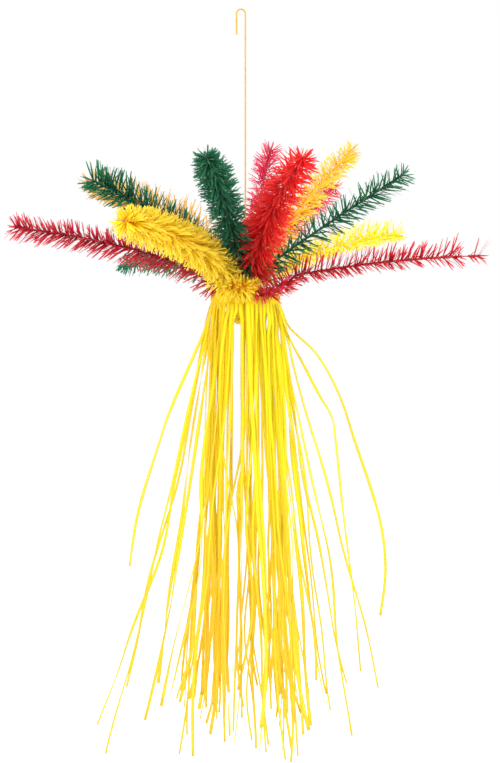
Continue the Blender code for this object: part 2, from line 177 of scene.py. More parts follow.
# Colours of the tissue, 0 to 255: painted shade at a blade's root near the wire, the blade's own
# dye, painted highlight at its tip
DYES_SHADE_AND_HIGHLIGHT = {
    "red_left": ((128, 0, 20), (210, 16, 48), (244, 120, 140)),
    "green_low_left": ((0, 66, 40), (0, 116, 72), (70, 170, 128)),
    "yellow_front": ((250, 150, 2), (255, 230, 18), (255, 240, 110)),
    "green_upper_left": ((0, 56, 34), (0, 108, 66), (60, 156, 112)),
    "yellow_back_left": ((204, 138, 14), (226, 178, 46), (244, 216, 130)),
    "green_up": ((0, 54, 34), (0, 100, 60), (70, 160, 120)),
    "red_up_back": ((176, 0, 44), (220, 20, 76), (246, 130, 158)),
    "red_up_front": ((206, 0, 4), (236, 0, 4), (252, 96, 84)),
    "yellow_up_back": ((248, 180, 22), (255, 216, 56), (255, 230, 120)),
    "red_back": ((180, 6, 30), (228, 24, 60), (250, 120, 150)),
    "green_right": ((0, 70, 40), (0, 118, 70), (60, 160, 112)),
    "yellow_right": ((250, 220, 4), (252, 240, 16), (255, 246, 170)),
    "red_right": ((156, 0, 18), (216, 14, 40), (246, 110, 130)),
    "green_back": ((0, 62, 38), (0, 108, 66), (60, 156, 112)),
    "yellow_back": ((240, 150, 8), (255, 200, 20), (255, 226, 90)),
}

# Paper in the materials: how fine it is, and how deep its crinkles look
FRINGE_PAPER = {"Fibre Scale": 700.0, "Crinkle Scale": 260.0}
SKIRT_PAPER = {"Fibre Scale": 520.0, "Crinkle Scale": 90.0}
TWINE_PAPER = {"Fibre Scale": 2400.0, "Crinkle Scale": 900.0}
FRINGE_RELIEF = 0.0004
SKIRT_RELIEF = 0.0006
TWINE_RELIEF = 0.0002
FIBRE_HEIGHT = 0.3             # against the crinkles
# the skirt's golden colour follows mostly its shade values, which hold painted shade and light
SKIRT_DYE = {"Along Share": 0.25, "Shade Share": 0.95, "Wear": 1.2}
ROOT_SHADE_ENDS = 0.45               # along a blade or a strip: where the painted shade at the root ends and the tip colour starts
# Rim colour: darker cut edges of a strip, partly painted shade between the layers; in the header's
# valleys it is painted shade
RIM_STARTS = 0.55              # from the middle of a strip to its edge
RIM_STRENGTH = 0.6
METAL_WEAR = (0.48, 0.72)      # height of its marks at which a wire starts to be worn, and is
METAL_MARKS = (0.10, 0.00005)  # strength and depth of the marks
LIGHT_PALER = 0.25             # how much paler than the dye the light through the paper is
WHITE = (1.0, 1.0, 1.0, 1.0)

# Cut blades of tissue
BLADE_KINDS = 8
BLADE_STEPS = 4
BLADE_WIDTHS = (0.70, 1.0, 1.0, 0.92, 0.58)
BLADE_CREASE = 0.16            # height of the crease, as a share of the width
BLADE_CURL = (-0.10, 0.45)     # radians that a blade bends over towards the tip
BLADE_TWIST = 1.1              # radians, either way, along a blade
BLADE_WIDTH_SPREAD = 0.25      # share by which a blade may be wider or narrower

# Spun fringes
FRINGE_START = 0.0100          # along the branch from the hub
FRINGE_END = 0.0080            # last turn of the fringe before the wire's tip
FRINGE_STEPS = 120
SEEDS_APART = 40               # between the seeds of two fringes
STRAY_POWER = 2.5              # above 1, most blades keep near their spiral
LEAN_POWER = 0.6               # below 1, the lean changes most near the hub
BARE_BELOW = 0.2               # fullness under which the wire is left bare
CORE_RADIUS = 0.0014           # uncut edge of the tissue, wound round the wire
CORE_OFFSET = 0.00035
CORE_TURN = 0.0055             # length of one turn of that edge
CORE_STEP = 0.001
CORE_SIDES = 8
BARE_CORE = 0.3                # share of the core that is left, inside the strands, on bare wire
CORE_ALONG = 0.25              # where the core's colour lies between the painted shade at a blade's root and the painted highlight at its tip
CORE_SHADE = 0.4

# Skirt, as in the frame
SHEETS_PER_LAYER = 4
SHEET_GAP_ANGLE = 4.0
OUTER_COLLAR_RADIUS = 0.00535
INNER_COLLAR_RADIUS = 0.00615
COLLAR_BOTTOM = 0.0150
OUTER_COLLAR_TOP = 0.0065
INNER_COLLAR_TOP = 0.0090
OUTER_SHOULDER_RADIUS = 0.0435
INNER_SHOULDER_RADIUS = 0.0385
FOLD_OVER = (0.72, 0.0005)     # share of the shoulder's radius, drop below the collar's top
SHOULDER_CREST = (0.96, 0.0070)
SKIRT_LENGTH = 0.5970
SLIT_TOP = 0.0250              # slits of both layers start at this drop
SOLID_STRIPS = 8               # strips of a sheet in the solids
OUTER_SPREAD = (0.076, 0.190)
INNER_SPREAD = (0.046, 0.070)
LOOSE_FLARE = 1.30
WIDE_FLARE = 1.00
END_SPREAD = 0.18
END_SKEW = 0.8
SKIRT_SEED = 168

# Places worked out from the sizes
HOOK_RADIUS = (HOOK_CLEAR_WIDTH + HANGER_DIAMETER) / 2
BEND_CENTRE = Vector((0.0, 0.0, HANGER_DIAMETER / 2 - HOOK_RADIUS))
HUB = Vector((HOOK_RADIUS, 0.0, -HUB_DROP))


def linear(red, green, blue):
    """Scene colour, without alpha, of a colour written 0 to 255."""
    values = []
    for value in (red, green, blue):
        share = value / 255.0
        values.append(share / 12.92 if share <= 0.04045 else ((share + 0.055) / 1.055) ** 2.4)
    return tuple(values)


def solid(colour):
    """A colour with its alpha."""
    return (*colour, 1.0)


def outward(azimuth):
    """Level unit vector at an azimuth in degrees."""
    angle = math.radians(azimuth)
    return Vector((math.sin(angle), -math.cos(angle), 0.0))


def place(azimuth, radius, drop):
    """Point at a radius from the shank's axis and a drop below the hub."""
    return HUB + outward(azimuth) * radius - Vector((0.0, 0.0, drop))


def between(knots, share):
    """Value at a share of the way, in straight steps from knot to knot."""
    for (start, low), (end, high) in zip(knots, knots[1:]):
        if share <= end:
            return low + (high - low) * max(0.0, (share - start) / (end - start))
    return knots[-1][1]


def rounded(points, steps):
    """A smooth line through the points, with a number of steps between each two."""
    line = []
    ends = [points[0]] + list(points) + [points[-1]]
    for before, start, end, after in zip(ends, ends[1:], ends[2:], ends[3:]):
        for step in range(steps):
            t = step / steps
            line.append(0.5 * (2 * start + (end - before) * t
                               + (2 * before - 5 * start + 4 * end - after) * t ** 2
                               + (3 * start - before - 3 * end + after) * t ** 3))
    return line + [points[-1]]


# Node trees


def socket_of(sockets, key):
    """A socket by its place, or the first one in use with that name."""
    if isinstance(key, int):
        return sockets[key]
    return next(socket for socket in sockets if socket.enabled and socket.name == key)


def add(tree, kind, settings=None, feeds=None, out=0):
    """Add a node, set its options, feed its inputs and return one of its outputs."""
    node = tree.nodes.new(kind)
    for name, value in (settings or {}).items():
        setattr(node, name, value)
    for key, value in (feeds or {}).items():
        socket = socket_of(node.inputs, key)
        if isinstance(value, bpy.types.NodeSocket):
            tree.links.new(value, socket)
        else:
            socket.default_value = value
    return socket_of(node.outputs, out)


def maths(tree, operation, *values):
    """Result of a Math node fed with the values in order."""
    return add(tree, "ShaderNodeMath", {"operation": operation}, dict(enumerate(values)))


def mix_colours(tree, share, first, second):
    """The first colour at a share of 0, the second at 1."""
    return add(tree, "ShaderNodeMix", {"data_type": "RGBA"}, {0: share, 6: first, 7: second}, 2)


def ease(tree, value, low, high, top=1.0):
    """0 up to the low value, the top from the high one, and a smooth rise between."""
    return add(tree, "ShaderNodeMapRange", {"interpolation_type": "SMOOTHSTEP"},
               {"Value": value, "From Min": low, "From Max": high, "To Max": top})


def group_node(tree, group, feeds):
    """Outputs of a node group placed in a tree."""
    return add(tree, "ShaderNodeGroup", {"node_tree": group}, feeds).node.outputs


def made_once(maker):
    """The node group that a function of the same name makes, made at its first use."""
    return bpy.data.node_groups.get(maker.__name__) or maker()


SOCKET_KINDS = {float: "Float", int: "Int", tuple: "Color"}


def new_tree(name, tree_kind, inputs, outputs):
    """Node group with inputs, by name with a default or else a kind, and outputs with a kind."""
    tree = bpy.data.node_groups.new(name, tree_kind)
    for label, default in inputs.items():
        kind = default if isinstance(default, str) else SOCKET_KINDS[type(default)]
        made = tree.interface.new_socket(label, in_out="INPUT", socket_type="NodeSocket" + kind)
        if kind != default:
            made.default_value = default
    for label, kind in outputs.items():
        tree.interface.new_socket(label, in_out="OUTPUT", socket_type="NodeSocket" + kind)
    return tree, tree.nodes.new("NodeGroupInput").outputs


def close_tree(tree, results):
    """Join the results to the group's outputs."""
    end = tree.nodes.new("NodeGroupOutput")
    for name, value in results.items():
        tree.links.new(value, end.inputs[name])
    return tree


def grow(guide, tree, values, name):
    """Run a node tree on a guide and keep the result as a plain mesh object."""
    modifier = guide.modifiers.new(tree.name, "NODES")
    modifier.node_group = tree
    for item in tree.interface.items_tree:
        if item.item_type == "SOCKET" and item.in_out == "INPUT" and item.name in values:
            modifier[item.identifier] = values[item.name]
    guide.update_tag()
    bpy.context.view_layer.update()
    depsgraph = bpy.context.evaluated_depsgraph_get()
    mesh = bpy.data.meshes.new_from_object(guide.evaluated_get(depsgraph),
                                           preserve_all_data_layers=True, depsgraph=depsgraph)
    mesh.name = name
    data = guide.data
    bpy.data.objects.remove(guide)
    bpy.data.curves.remove(data)
    piece = bpy.data.objects.new(name, mesh)
    bpy.context.scene.collection.objects.link(piece)
    return piece


def guide_curve(name, points, radii=None, cyclic=False):
    """A bare line for a node tree to follow."""
    data = bpy.data.curves.new(name, "CURVE")
    data.dimensions = "3D"
    data.twist_mode = "MINIMUM"
    spline = data.splines.new("POLY")
    spline.points.add(len(points) - 1)
    spline.use_cyclic_u = cyclic
    for index, point in enumerate(points):
        spline.points[index].co = (*point, 1.0)
        spline.points[index].radius = radii[index] if radii else 1.0
    guide = bpy.data.objects.new(name, data)
    bpy.context.scene.collection.objects.link(guide)
    return guide


def finish_piece(piece, node):
    """Put a finished piece on the body, in place of its solid."""
    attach(piece, "root")
    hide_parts(node)


# Material groups


def paper_fibres():
    """Long fibres and soft crinkles of thin paper."""
    tree, source = new_tree("paper_fibres", "ShaderNodeTree", {
        "Fibre Scale": 900.0,
        "Crinkle Scale": 140.0,
    }, {"Fibres": "Float", "Height": "Float"})
    spot = add(tree, "ShaderNodeTexCoord", out="Object")
    drawn = add(tree, "ShaderNodeMapping", feeds={"Vector": spot, "Scale": (1.0, 1.0, 0.22)})
    fibres = add(tree, "ShaderNodeTexNoise",
                 feeds={"Vector": drawn, "Scale": source["Fibre Scale"], "Detail": 3.0,
                        "Roughness": 0.65})
    crinkle = add(tree, "ShaderNodeTexNoise",
                  feeds={"Vector": spot, "Scale": source["Crinkle Scale"], "Detail": 4.0,
                         "Roughness": 0.6, "Distortion": 0.6})
    height = maths(tree, "MULTIPLY_ADD", fibres, FIBRE_HEIGHT, crinkle)
    return close_tree(tree, {"Fibres": fibres, "Height": height})


def tissue_dye():
    """Dyed tissue: painted shade near the root and where the shade value is low, a tip colour in
    streaks towards the tip, uneven from fibre to fibre.
    """
    tree, source = new_tree("tissue_dye", "ShaderNodeTree", {
        "Fold Colour": (0.3, 0.0, 0.0, 1.0),
        "Body Colour": (0.6, 0.0, 0.0, 1.0),
        "Worn Colour": (0.8, 0.2, 0.2, 1.0),
        "Along": 0.5,
        "Shade": 0.5,
        "Fibres": 0.5,
        "Along Share": 0.8,
        "Shade Share": 0.4,
        "Wear": 0.95,
    }, {"Colour": "Color"})
    # painted shade: the shade colour near the root and where the shade value is low
    rise = ease(tree, source["Along"], 0.0, ROOT_SHADE_ENDS)
    out_of_painted_shade = maths(tree, "MULTIPLY_ADD", source["Shade"], source["Shade Share"],
                        maths(tree, "MULTIPLY", rise, source["Along Share"]))
    body = mix_colours(tree, out_of_painted_shade, source["Fold Colour"], source["Body Colour"])
    # tip colour in streaks: a painted highlight on the blades, a paler end on the skirt
    tip = ease(tree, source["Along"], ROOT_SHADE_ENDS, 1.0)
    streak = maths(tree, "MULTIPLY", maths(tree, "MULTIPLY", tip, source["Fibres"]),
                   source["Wear"])
    return close_tree(tree, {"Colour": mix_colours(tree, streak, body, source["Worn Colour"])})


def drawn_metal():
    """Fine draw lines and handling marks along a wire."""
    tree, source = new_tree("drawn_metal", "ShaderNodeTree", {
        "Colour": (0.5, 0.5, 0.5, 1.0),
        "Worn Colour": (0.3, 0.3, 0.3, 1.0),
        "Smooth": 0.3,
        "Rough": 0.6,
    }, {"Colour": "Color", "Roughness": "Float", "Height": "Float"})
    spot = add(tree, "ShaderNodeTexCoord", out="Object")
    marks = add(tree, "ShaderNodeTexNoise",
                feeds={"Vector": spot, "Scale": 260.0, "Detail": 5.0, "Roughness": 0.7})
    worn = ease(tree, marks, *METAL_WEAR)
    colour = mix_colours(tree, worn, source["Colour"], source["Worn Colour"])
    rough = add(tree, "ShaderNodeMapRange",
                feeds={"Value": marks, "To Min": source["Smooth"], "To Max": source["Rough"]})
    return close_tree(tree, {"Colour": colour, "Roughness": rough, "Height": marks})


def blank_material(name, colour):
    """A material with an empty node tree, and the colour that it shows in the viewport."""
    material = bpy.data.materials.new(name)
    material.use_nodes = True
    material.diffuse_color = solid(colour)
    tree = material.node_tree
    tree.nodes.clear()
    return material, tree


def attribute(tree, name):
    """A value that the piece's own mesh holds."""
    return add(tree, "ShaderNodeAttribute", {"attribute_name": name}, out="Fac")


def bump(tree, height, strength, distance):
    """Normal of a surface with fine relief."""
    return add(tree, "ShaderNodeBump",
               feeds={"Height": height, "Strength": strength, "Distance": distance})


def add_output(tree, surface):
    """End a material with its surface."""
    end = tree.nodes.new("ShaderNodeOutputMaterial")
    tree.links.new(surface, end.inputs["Surface"])


def dyed_paper(tree, groups, dyes, fineness, spread=None):
    """Height and colour of tissue with three colours: painted shade, the sheet's own dye, and the
    tip colour.
    """
    paper = group_node(tree, groups["fibres"], fineness)
    # fold holds the painted shade colour, worn the tip colour
    fold, body, worn = (solid(dye) for dye in dyes)
    dye = group_node(tree, groups["dye"], {
        "Fold Colour": fold, "Body Colour": body, "Worn Colour": worn,
        "Along": attribute(tree, "along"), "Shade": attribute(tree, "shade"),
        "Fibres": paper["Fibres"], **(spread or {})})
    return paper["Height"], dye["Colour"]


def thin_paper(tree, height, colour, finish, relief, glow):
    """End a material as crinkled paper, with the paler light that comes through it."""
    normal = bump(tree, height, finish.crinkle, relief)
    surface = add(tree, "ShaderNodeBsdfPrincipled",
                  feeds={"Base Color": colour, "Roughness": finish.roughness,
                         "Specular IOR Level": 0.25, "Sheen Weight": 0.08, "Normal": normal})
    paler = mix_colours(tree, LIGHT_PALER, colour, WHITE)
    through = add(tree, "ShaderNodeBsdfTranslucent", feeds={"Color": paler, "Normal": normal})
    add_output(tree, add(tree, "ShaderNodeMixShader", feeds={0: glow, 1: surface, 2: through}))


def fringe_tissue(name, dyes, groups, finish):
    """Spun tissue fringe, dyed through, with painted shade near the wire and a painted highlight at
    the tips, that lets some light through each blade.
    """
    dyes = [linear(*dye) for dye in dyes]
    material, tree = blank_material("tissue_" + name, dyes[1])
    height, colour = dyed_paper(tree, groups, dyes, FRINGE_PAPER)
    thin_paper(tree, height, colour, finish, FRINGE_RELIEF, finish.fringe_glow)
    return material


def skirt_tissue(groups, colours, finish):
    """Yellow tissue: golden where it is gathered and where shade is painted, on the left and in the
    pleats' valleys, bright where one strip hangs free.
    """
    dyes = [tuple(colours.skirt_gathered_and_shade), tuple(colours.skirt), tuple(colours.skirt_pale)]
    material, tree = blank_material("skirt_tissue", dyes[1])
    height, colour = dyed_paper(tree, groups, dyes, SKIRT_PAPER, SKIRT_DYE)
    # darker rim: cut edges partly painted shade between the layers, and painted shade in the
    # pleats' valleys
    rim_and_shade = ease(tree, attribute(tree, "across"), RIM_STARTS, 1.0, RIM_STRENGTH)
    edged_and_shaded = mix_colours(tree, rim_and_shade, colour, solid(tuple(colours.skirt_edge_and_shade)))
    thin_paper(tree, height, edged_and_shaded, finish, SKIRT_RELIEF, finish.skirt_glow)
    return material


def wire_material(name, groups, colour, worn, smooth, rough, metallic, coat):
    """Drawn or coated wire with fine marks."""
    material, tree = blank_material(name, colour)
    marks = group_node(tree, groups["metal"], {
        "Colour": solid(colour), "Worn Colour": solid(worn), "Smooth": smooth, "Rough": rough})
    normal = bump(tree, marks["Height"], *METAL_MARKS)
    add_output(tree, add(tree, "ShaderNodeBsdfPrincipled", feeds={
        "Base Color": marks["Colour"], "Roughness": marks["Roughness"], "Metallic": metallic,
        "Coat Weight": coat, "Coat Roughness": 0.25, "Normal": normal}))
    return material


def twine_material(groups, colour, worn):
    """Soft yellow twine, with painted shade between its fibres."""
    material, tree = blank_material("yellow_twine", colour)
    paper = group_node(tree, groups["fibres"], TWINE_PAPER)
    # worn holds the painted shade colour between the fibres
    shade = mix_colours(tree, paper["Fibres"], solid(worn), solid(colour))
    add_output(tree, add(tree, "ShaderNodeBsdfPrincipled", feeds={
        "Base Color": shade, "Roughness": 0.9, "Sheen Weight": 0.4,
        "Normal": bump(tree, paper["Height"], 0.7, TWINE_RELIEF)}))
    return material


def material_groups():
    """The shared groups, made once."""
    makers = {"fibres": paper_fibres, "dye": tissue_dye, "metal": drawn_metal}
    return {key: made_once(maker) for key, maker in makers.items()}


# Wires


def coil_round(tree, line, angle, reach):
    """Move a line's points aside by a reach, each at its own angle round the line."""
    arm = add(tree, "ShaderNodeVectorRotate", {"rotation_type": "AXIS_ANGLE"}, {
        "Vector": add(tree, "GeometryNodeInputNormal", out="Normal"),
        "Axis": add(tree, "GeometryNodeInputTangent"), "Angle": angle})
    offset = add(tree, "ShaderNodeVectorMath", {"operation": "SCALE"},
                 {"Vector": arm, "Scale": reach})
    return add(tree, "GeometryNodeSetPosition", feeds={"Geometry": line, "Offset": offset})


def tube(tree, line, sides, radius, more=None):
    """Smooth tube with closed ends along a line."""
    ring = add(tree, "GeometryNodeCurvePrimitiveCircle", {"mode": "RADIUS"},
               {"Resolution": sides, "Radius": radius})
    wall = add(tree, "GeometryNodeCurveToMesh", feeds={
        "Curve": line, "Profile Curve": ring, **(more or {}), "Fill Caps": True})
    return add(tree, "GeometryNodeSetShadeSmooth", feeds={"Geometry": wall})


def close_piece(tree, geometry, material):
    """Make the instances real, give them their material and close the tree."""
    plain = add(tree, "GeometryNodeRealizeInstances", feeds={"Geometry": geometry})
    return close_tree(tree, {"Geometry": add(tree, "GeometryNodeSetMaterial", feeds={
        "Geometry": plain, "Material": material})})


def twisted_strands():
    """Round strands laid side by side along a line and twisted round it."""
    tree, source = new_tree("twisted_strands", "GeometryNodeTree", {
        "Geometry": "Geometry",
        "Strands": 2,
        "Strand Radius": 0.0004,
        "Strand Offset": 0.0004,
        "Turn Length": 0.007,
        "Step": 0.001,
        "Sides": 5,
        "Finish": "Material",
    }, {"Geometry": "Geometry"})
    line = add(tree, "GeometryNodeResampleCurve", {"mode": "LENGTH"},
               {"Curve": source["Geometry"], "Length": source["Step"]})
    copies = add(tree, "GeometryNodeDuplicateElements", {"domain": "SPLINE"},
                 {"Geometry": line, "Amount": source["Strands"]}).node.outputs
    length = add(tree, "GeometryNodeSplineParameter", out="Length")
    turns = maths(tree, "DIVIDE", length, source["Turn Length"])
    apart = maths(tree, "DIVIDE", copies["Duplicate Index"], source["Strands"])
    angle = maths(tree, "MULTIPLY", maths(tree, "ADD", turns, apart), math.tau)
    strands = coil_round(tree, copies["Geometry"], angle, source["Strand Offset"])
    wires = tube(tree, strands, source["Sides"], source["Strand Radius"])
    return close_piece(tree, wires, source["Finish"])


def hanger_route(steps):
    """Centreline of the hanger wire: free leg, hook, shank and tail."""
    points = [BEND_CENTRE + Vector((-HOOK_RADIUS, 0.0, -HOOK_LEG))]
    for step in range(steps + 1):
        angle = math.pi - math.pi * step / steps
        points.append(BEND_CENTRE + Vector((math.cos(angle), 0.0, math.sin(angle))) * HOOK_RADIUS)
    points.append(HUB - Vector((0.0, 0.0, HANGER_TAIL)))
    return points


def branch_slots():
    """Where each branch wire stands in the bunch: name -> (slot azimuth, radius, exit height)."""
    slots = {}
    round_the_hub = sorted(BRANCHES, key=lambda branch: branch.azimuth)
    inner = [branch for branch in round_the_hub if branch.name in INNER_RING]
    outer = [branch for branch in round_the_hub if branch.name not in INNER_RING]
    rings = (
        (inner, INNER_RING_RADIUS, INNER_EXIT_RISE, INNER_RING_AZIMUTH),
        (outer, OUTER_RING_RADIUS, -OUTER_EXIT_DROP, OUTER_RING_AZIMUTH),
    )
    for ring, radius, height, first in rings:
        pitch = 360.0 / len(ring)
        for index, branch in enumerate(ring):
            slots[branch.name] = (first + pitch * index, radius, height)
    return slots


SLOTS = branch_slots()


def branch_point(branch, distance):
    """Point on a branch's drooping arc, a distance along it from the hub."""
    _, radius, height = SLOTS[branch.name]
    start = math.radians(branch.elevation + branch.droop)
    bend = math.radians(2 * branch.droop) / branch.length
    now = start - bend * distance
    run = (math.sin(start) - math.sin(now)) / bend
    rise = (math.cos(now) - math.cos(start)) / bend
    return HUB + outward(branch.azimuth) * (radius + run) + Vector((0.0, 0.0, height + rise))


def branch_route(branch, bend_steps, arc_steps):
    """Wire centreline: tail in the bunch, bend at the hub, then the arc to the tip."""
    slot_azimuth, radius, height = SLOTS[branch.name]
    tail_top = place(slot_azimuth, radius, BEND_REACH / 2 - height)
    corner = place(slot_azimuth, radius, -height)
    leave = branch_point(branch, BEND_REACH)
    route = [place(slot_azimuth, radius, BRANCH_TAIL), tail_top]
    for step in range(1, bend_steps):
        t = step / bend_steps
        route.append(tail_top * (1 - t) ** 2 + corner * 2 * t * (1 - t) + leave * t ** 2)
    reach = branch.length - BEND_REACH
    return route + [branch_point(branch, BEND_REACH + reach * step / arc_steps)
                    for step in range(arc_steps + 1)]


def make_hanger(sizes, colours, groups):
    """One solid coated wire, with its hook."""
    tree = made_once(twisted_strands)
    finish = wire_material("yellow_coated_wire", groups, tuple(colours.hanger),
                           tuple(colours.hanger_worn), smooth=0.45, rough=0.65, metallic=0.0,
                           coat=0.05)
    guide = guide_curve("hanger_guide", hanger_route(sizes.hook_steps))
    piece = grow(guide, tree, {
        "Strands": 1, "Strand Radius": HANGER_DIAMETER / 2, "Strand Offset": 0.0,
        "Step": sizes.hanger_step, "Sides": 14, "Finish": finish}, "coated_hanger_wire")
    finish_piece(piece, "hanger_wire")


def make_branch_wires(sizes, colours, groups):
    """Two thin strands twisted together for each branch, lacquered where one is left bare."""
    tree = made_once(twisted_strands)
    finish = wire_material("branch_wire_steel", groups, tuple(colours.steel),
                           tuple(colours.steel_worn), smooth=0.30, rough=0.55, metallic=0.9,
                           coat=0.0)
    tinted = wire_material("branch_wire_red_lacquer", groups, tuple(colours.lacquer),
                           tuple(colours.lacquer_worn), smooth=0.35, rough=0.6, metallic=0.3,
                           coat=0.0)
    for branch in BRANCHES:
        guide = guide_curve("wire_guide", branch_route(branch, BEND_STEPS, ARC_STEPS))
        piece = grow(guide, tree, {
            "Strands": 2, "Strand Radius": BRANCH_WIRE_DIAMETER / 4,
            "Strand Offset": BRANCH_WIRE_DIAMETER / 4, "Turn Length": sizes.wire_turn,
            "Step": 0.001, "Sides": 5, "Finish": tinted if branch.name == BARE_BRANCH else finish},
            "twisted_wire_" + branch.name)
        finish_piece(piece, "branch_wire_" + branch.name)


def make_bindings(colours, groups):
    """The wire wound round the tails, and the twine ring that holds the sheets' collars."""
    tree = made_once(twisted_strands)
    steel = bpy.data.materials.get("branch_wire_steel")
    coil = [place(360.0 * index / COIL_STEPS, BINDING_RADIUS,
                  BINDING_BELOW_HUB - BINDING_PITCH * index / COIL_STEPS)
            for index in range(BINDING_TURNS * COIL_STEPS + 1)]
    piece = grow(guide_curve("binding_guide", coil), tree, {
        "Strands": 1, "Strand Radius": BINDING_DIAMETER / 2, "Strand Offset": 0.0,
        "Step": 0.0012, "Sides": 8, "Finish": steel}, "wound_binding_wire")
    finish_piece(piece, "binding_wire")
    twine = twine_material(groups, tuple(colours.tie), tuple(colours.tie_fibre_shade))
    ring = [place(360.0 * index / TIE_STEPS, TIE_RADIUS, TIE_DROP) for index in range(TIE_STEPS)]
    piece = grow(guide_curve("tie_guide", ring, cyclic=True), tree, {
        "Strands": TWINE_STRANDS, "Strand Radius": TIE_DIAMETER * TWINE_STRAND_RADIUS,
        "Strand Offset": TIE_DIAMETER * TWINE_STRAND_OFFSET,
        "Turn Length": math.tau * TIE_RADIUS / TWINE_TURNS, "Step": 0.0005, "Sides": 6,
        "Finish": twine}, "twisted_twine_tie")
    finish_piece(piece, "skirt_tie")


# Spun fringes


def spun_fringe():
    """Blades of tissue that stand out from a wire on a double spiral and lean to its tip."""
    tree, source = new_tree("spun_fringe", "GeometryNodeTree", {
        "Geometry": "Geometry",
        "Blades": "Collection",
        "Blade Count": 900,
        "Blade Width": 1.0,
        "Shortest Blade": 0.75,
        "Spiral Pitch": 0.020,
        "Spiral Spread": 0.9,
        "Hub Lean": 1.35,
        "Tip Lean": 1.0,
        "Upper Lean": 0.16,
        "Lean Spread": 0.14,
        "Roll Spread": 1.4,
        "Upper Length": -0.10,
        "Tip Thinning": 0.0,
        "Seed": 0,
        "Tissue": "Material",
    }, {"Geometry": "Geometry"})

    def spread(low, high, offset, kind="FLOAT"):
        """A random value for each blade; each use has its own offset to the seed."""
        seed = maths(tree, "ADD", source["Seed"], float(offset))
        return add(tree, "FunctionNodeRandomValue", {"data_type": kind},
                   {"Min": low, "Max": high, "Seed": seed}, "Value")

    def turned(rotation, axis, angle):
        """A rotation turned further about one of its own axes."""
        turn = add(tree, "FunctionNodeAxisAngleToRotation", feeds={"Axis": axis, "Angle": angle})
        return add(tree, "FunctionNodeRotateRotation", {"rotation_space": "LOCAL"},
                   {"Rotation": rotation, "Rotate By": turn})

    roots = add(tree, "GeometryNodeCurveToPoints", {"mode": "COUNT"},
                {"Curve": source["Geometry"], "Count": source["Blade Count"]}).node.outputs
    length = add(tree, "GeometryNodeCurveLength", feeds={"Curve": source["Geometry"]})
    share = maths(tree, "DIVIDE", add(tree, "GeometryNodeInputIndex"), source["Blade Count"])
    turns = maths(tree, "DIVIDE", maths(tree, "MULTIPLY", share, length), source["Spiral Pitch"])
    side = maths(tree, "MULTIPLY", spread(0, 1, 1, "INT"), 0.5)
    spiral = maths(tree, "MULTIPLY", maths(tree, "ADD", turns, side), math.tau)
    stray = maths(tree, "POWER", spread(0.0, 1.0, 2), STRAY_POWER)
    sign = maths(tree, "SIGN", spread(-1.0, 1.0, 3))
    wander = maths(tree, "MULTIPLY", maths(tree, "MULTIPLY", stray, sign), source["Spiral Spread"])
    around = maths(tree, "ADD", spiral, wander)
    turned_out = turned(roots["Rotation"], (0.0, 0.0, 1.0), around)
    lean_fall = maths(tree, "SUBTRACT", source["Tip Lean"], source["Hub Lean"])
    lean = maths(tree, "MULTIPLY_ADD", lean_fall, maths(tree, "POWER", share, LEAN_POWER),
                 source["Hub Lean"])
    uneven = maths(tree, "MULTIPLY", spread(-1.0, 1.0, 4), source["Lean Spread"])
    upward = add(tree, "ShaderNodeSeparateXYZ", feeds={"Vector": add(
        tree, "FunctionNodeRotateVector",
        feeds={"Vector": (1.0, 0.0, 0.0), "Rotation": turned_out})}, out="Z")
    uneven = maths(tree, "MULTIPLY_ADD", upward, source["Upper Lean"], uneven)
    roll = maths(tree, "MULTIPLY", spread(-1.0, 1.0, 5), source["Roll Spread"])
    leaning = turned(turned_out, (0.0, 1.0, 0.0), maths(tree, "ADD", lean, uneven))
    rolled = turned(leaning, (0.0, 0.0, 1.0), roll)
    fullness = add(tree, "GeometryNodeInputRadius")
    long = maths(tree, "MULTIPLY", fullness, spread(source["Shortest Blade"], 1.0, 6))
    long = maths(tree, "MULTIPLY", long,
                 maths(tree, "MULTIPLY_ADD", upward, source["Upper Length"], 1.0))
    wide = maths(tree, "MULTIPLY", source["Blade Width"],
                 spread(1.0 - BLADE_WIDTH_SPREAD, 1.0 + BLADE_WIDTH_SPREAD, 7))
    size = add(tree, "ShaderNodeCombineXYZ", feeds={"X": wide, "Y": wide, "Z": long})
    thinned = maths(tree, "MULTIPLY", share, source["Tip Thinning"])
    kept = maths(tree, "GREATER_THAN", spread(0.0, 1.0, 10), thinned)
    present = maths(tree, "MULTIPLY", maths(tree, "GREATER_THAN", fullness, BARE_BELOW), kept)
    kinds = add(tree, "GeometryNodeCollectionInfo",
                feeds={"Collection": source["Blades"], "Separate Children": True,
                       "Reset Children": True})
    blades = add(tree, "GeometryNodeInstanceOnPoints", feeds={
        "Points": roots["Points"], "Selection": present, "Instance": kinds,
        "Pick Instance": True, "Instance Index": spread(0, BLADE_KINDS - 1, 8, "INT"),
        "Rotation": rolled, "Scale": size})
    shaded = keep_value(tree, blades, "shade", spread(0.0, 1.0, 9), "INSTANCE")
    both = tree.nodes.new("GeometryNodeJoinGeometry")
    tree.links.new(shaded, both.inputs[0])
    tree.links.new(wound_core(tree, source), both.inputs[0])
    return close_piece(tree, both.outputs[0], source["Tissue"])


def keep_value(tree, geometry, name, value, domain="POINT"):
    """Store a value on the geometry, for its material to read."""
    return add(tree, "GeometryNodeStoreNamedAttribute", {"data_type": "FLOAT", "domain": domain},
               {"Geometry": geometry, "Name": name, "Value": value})


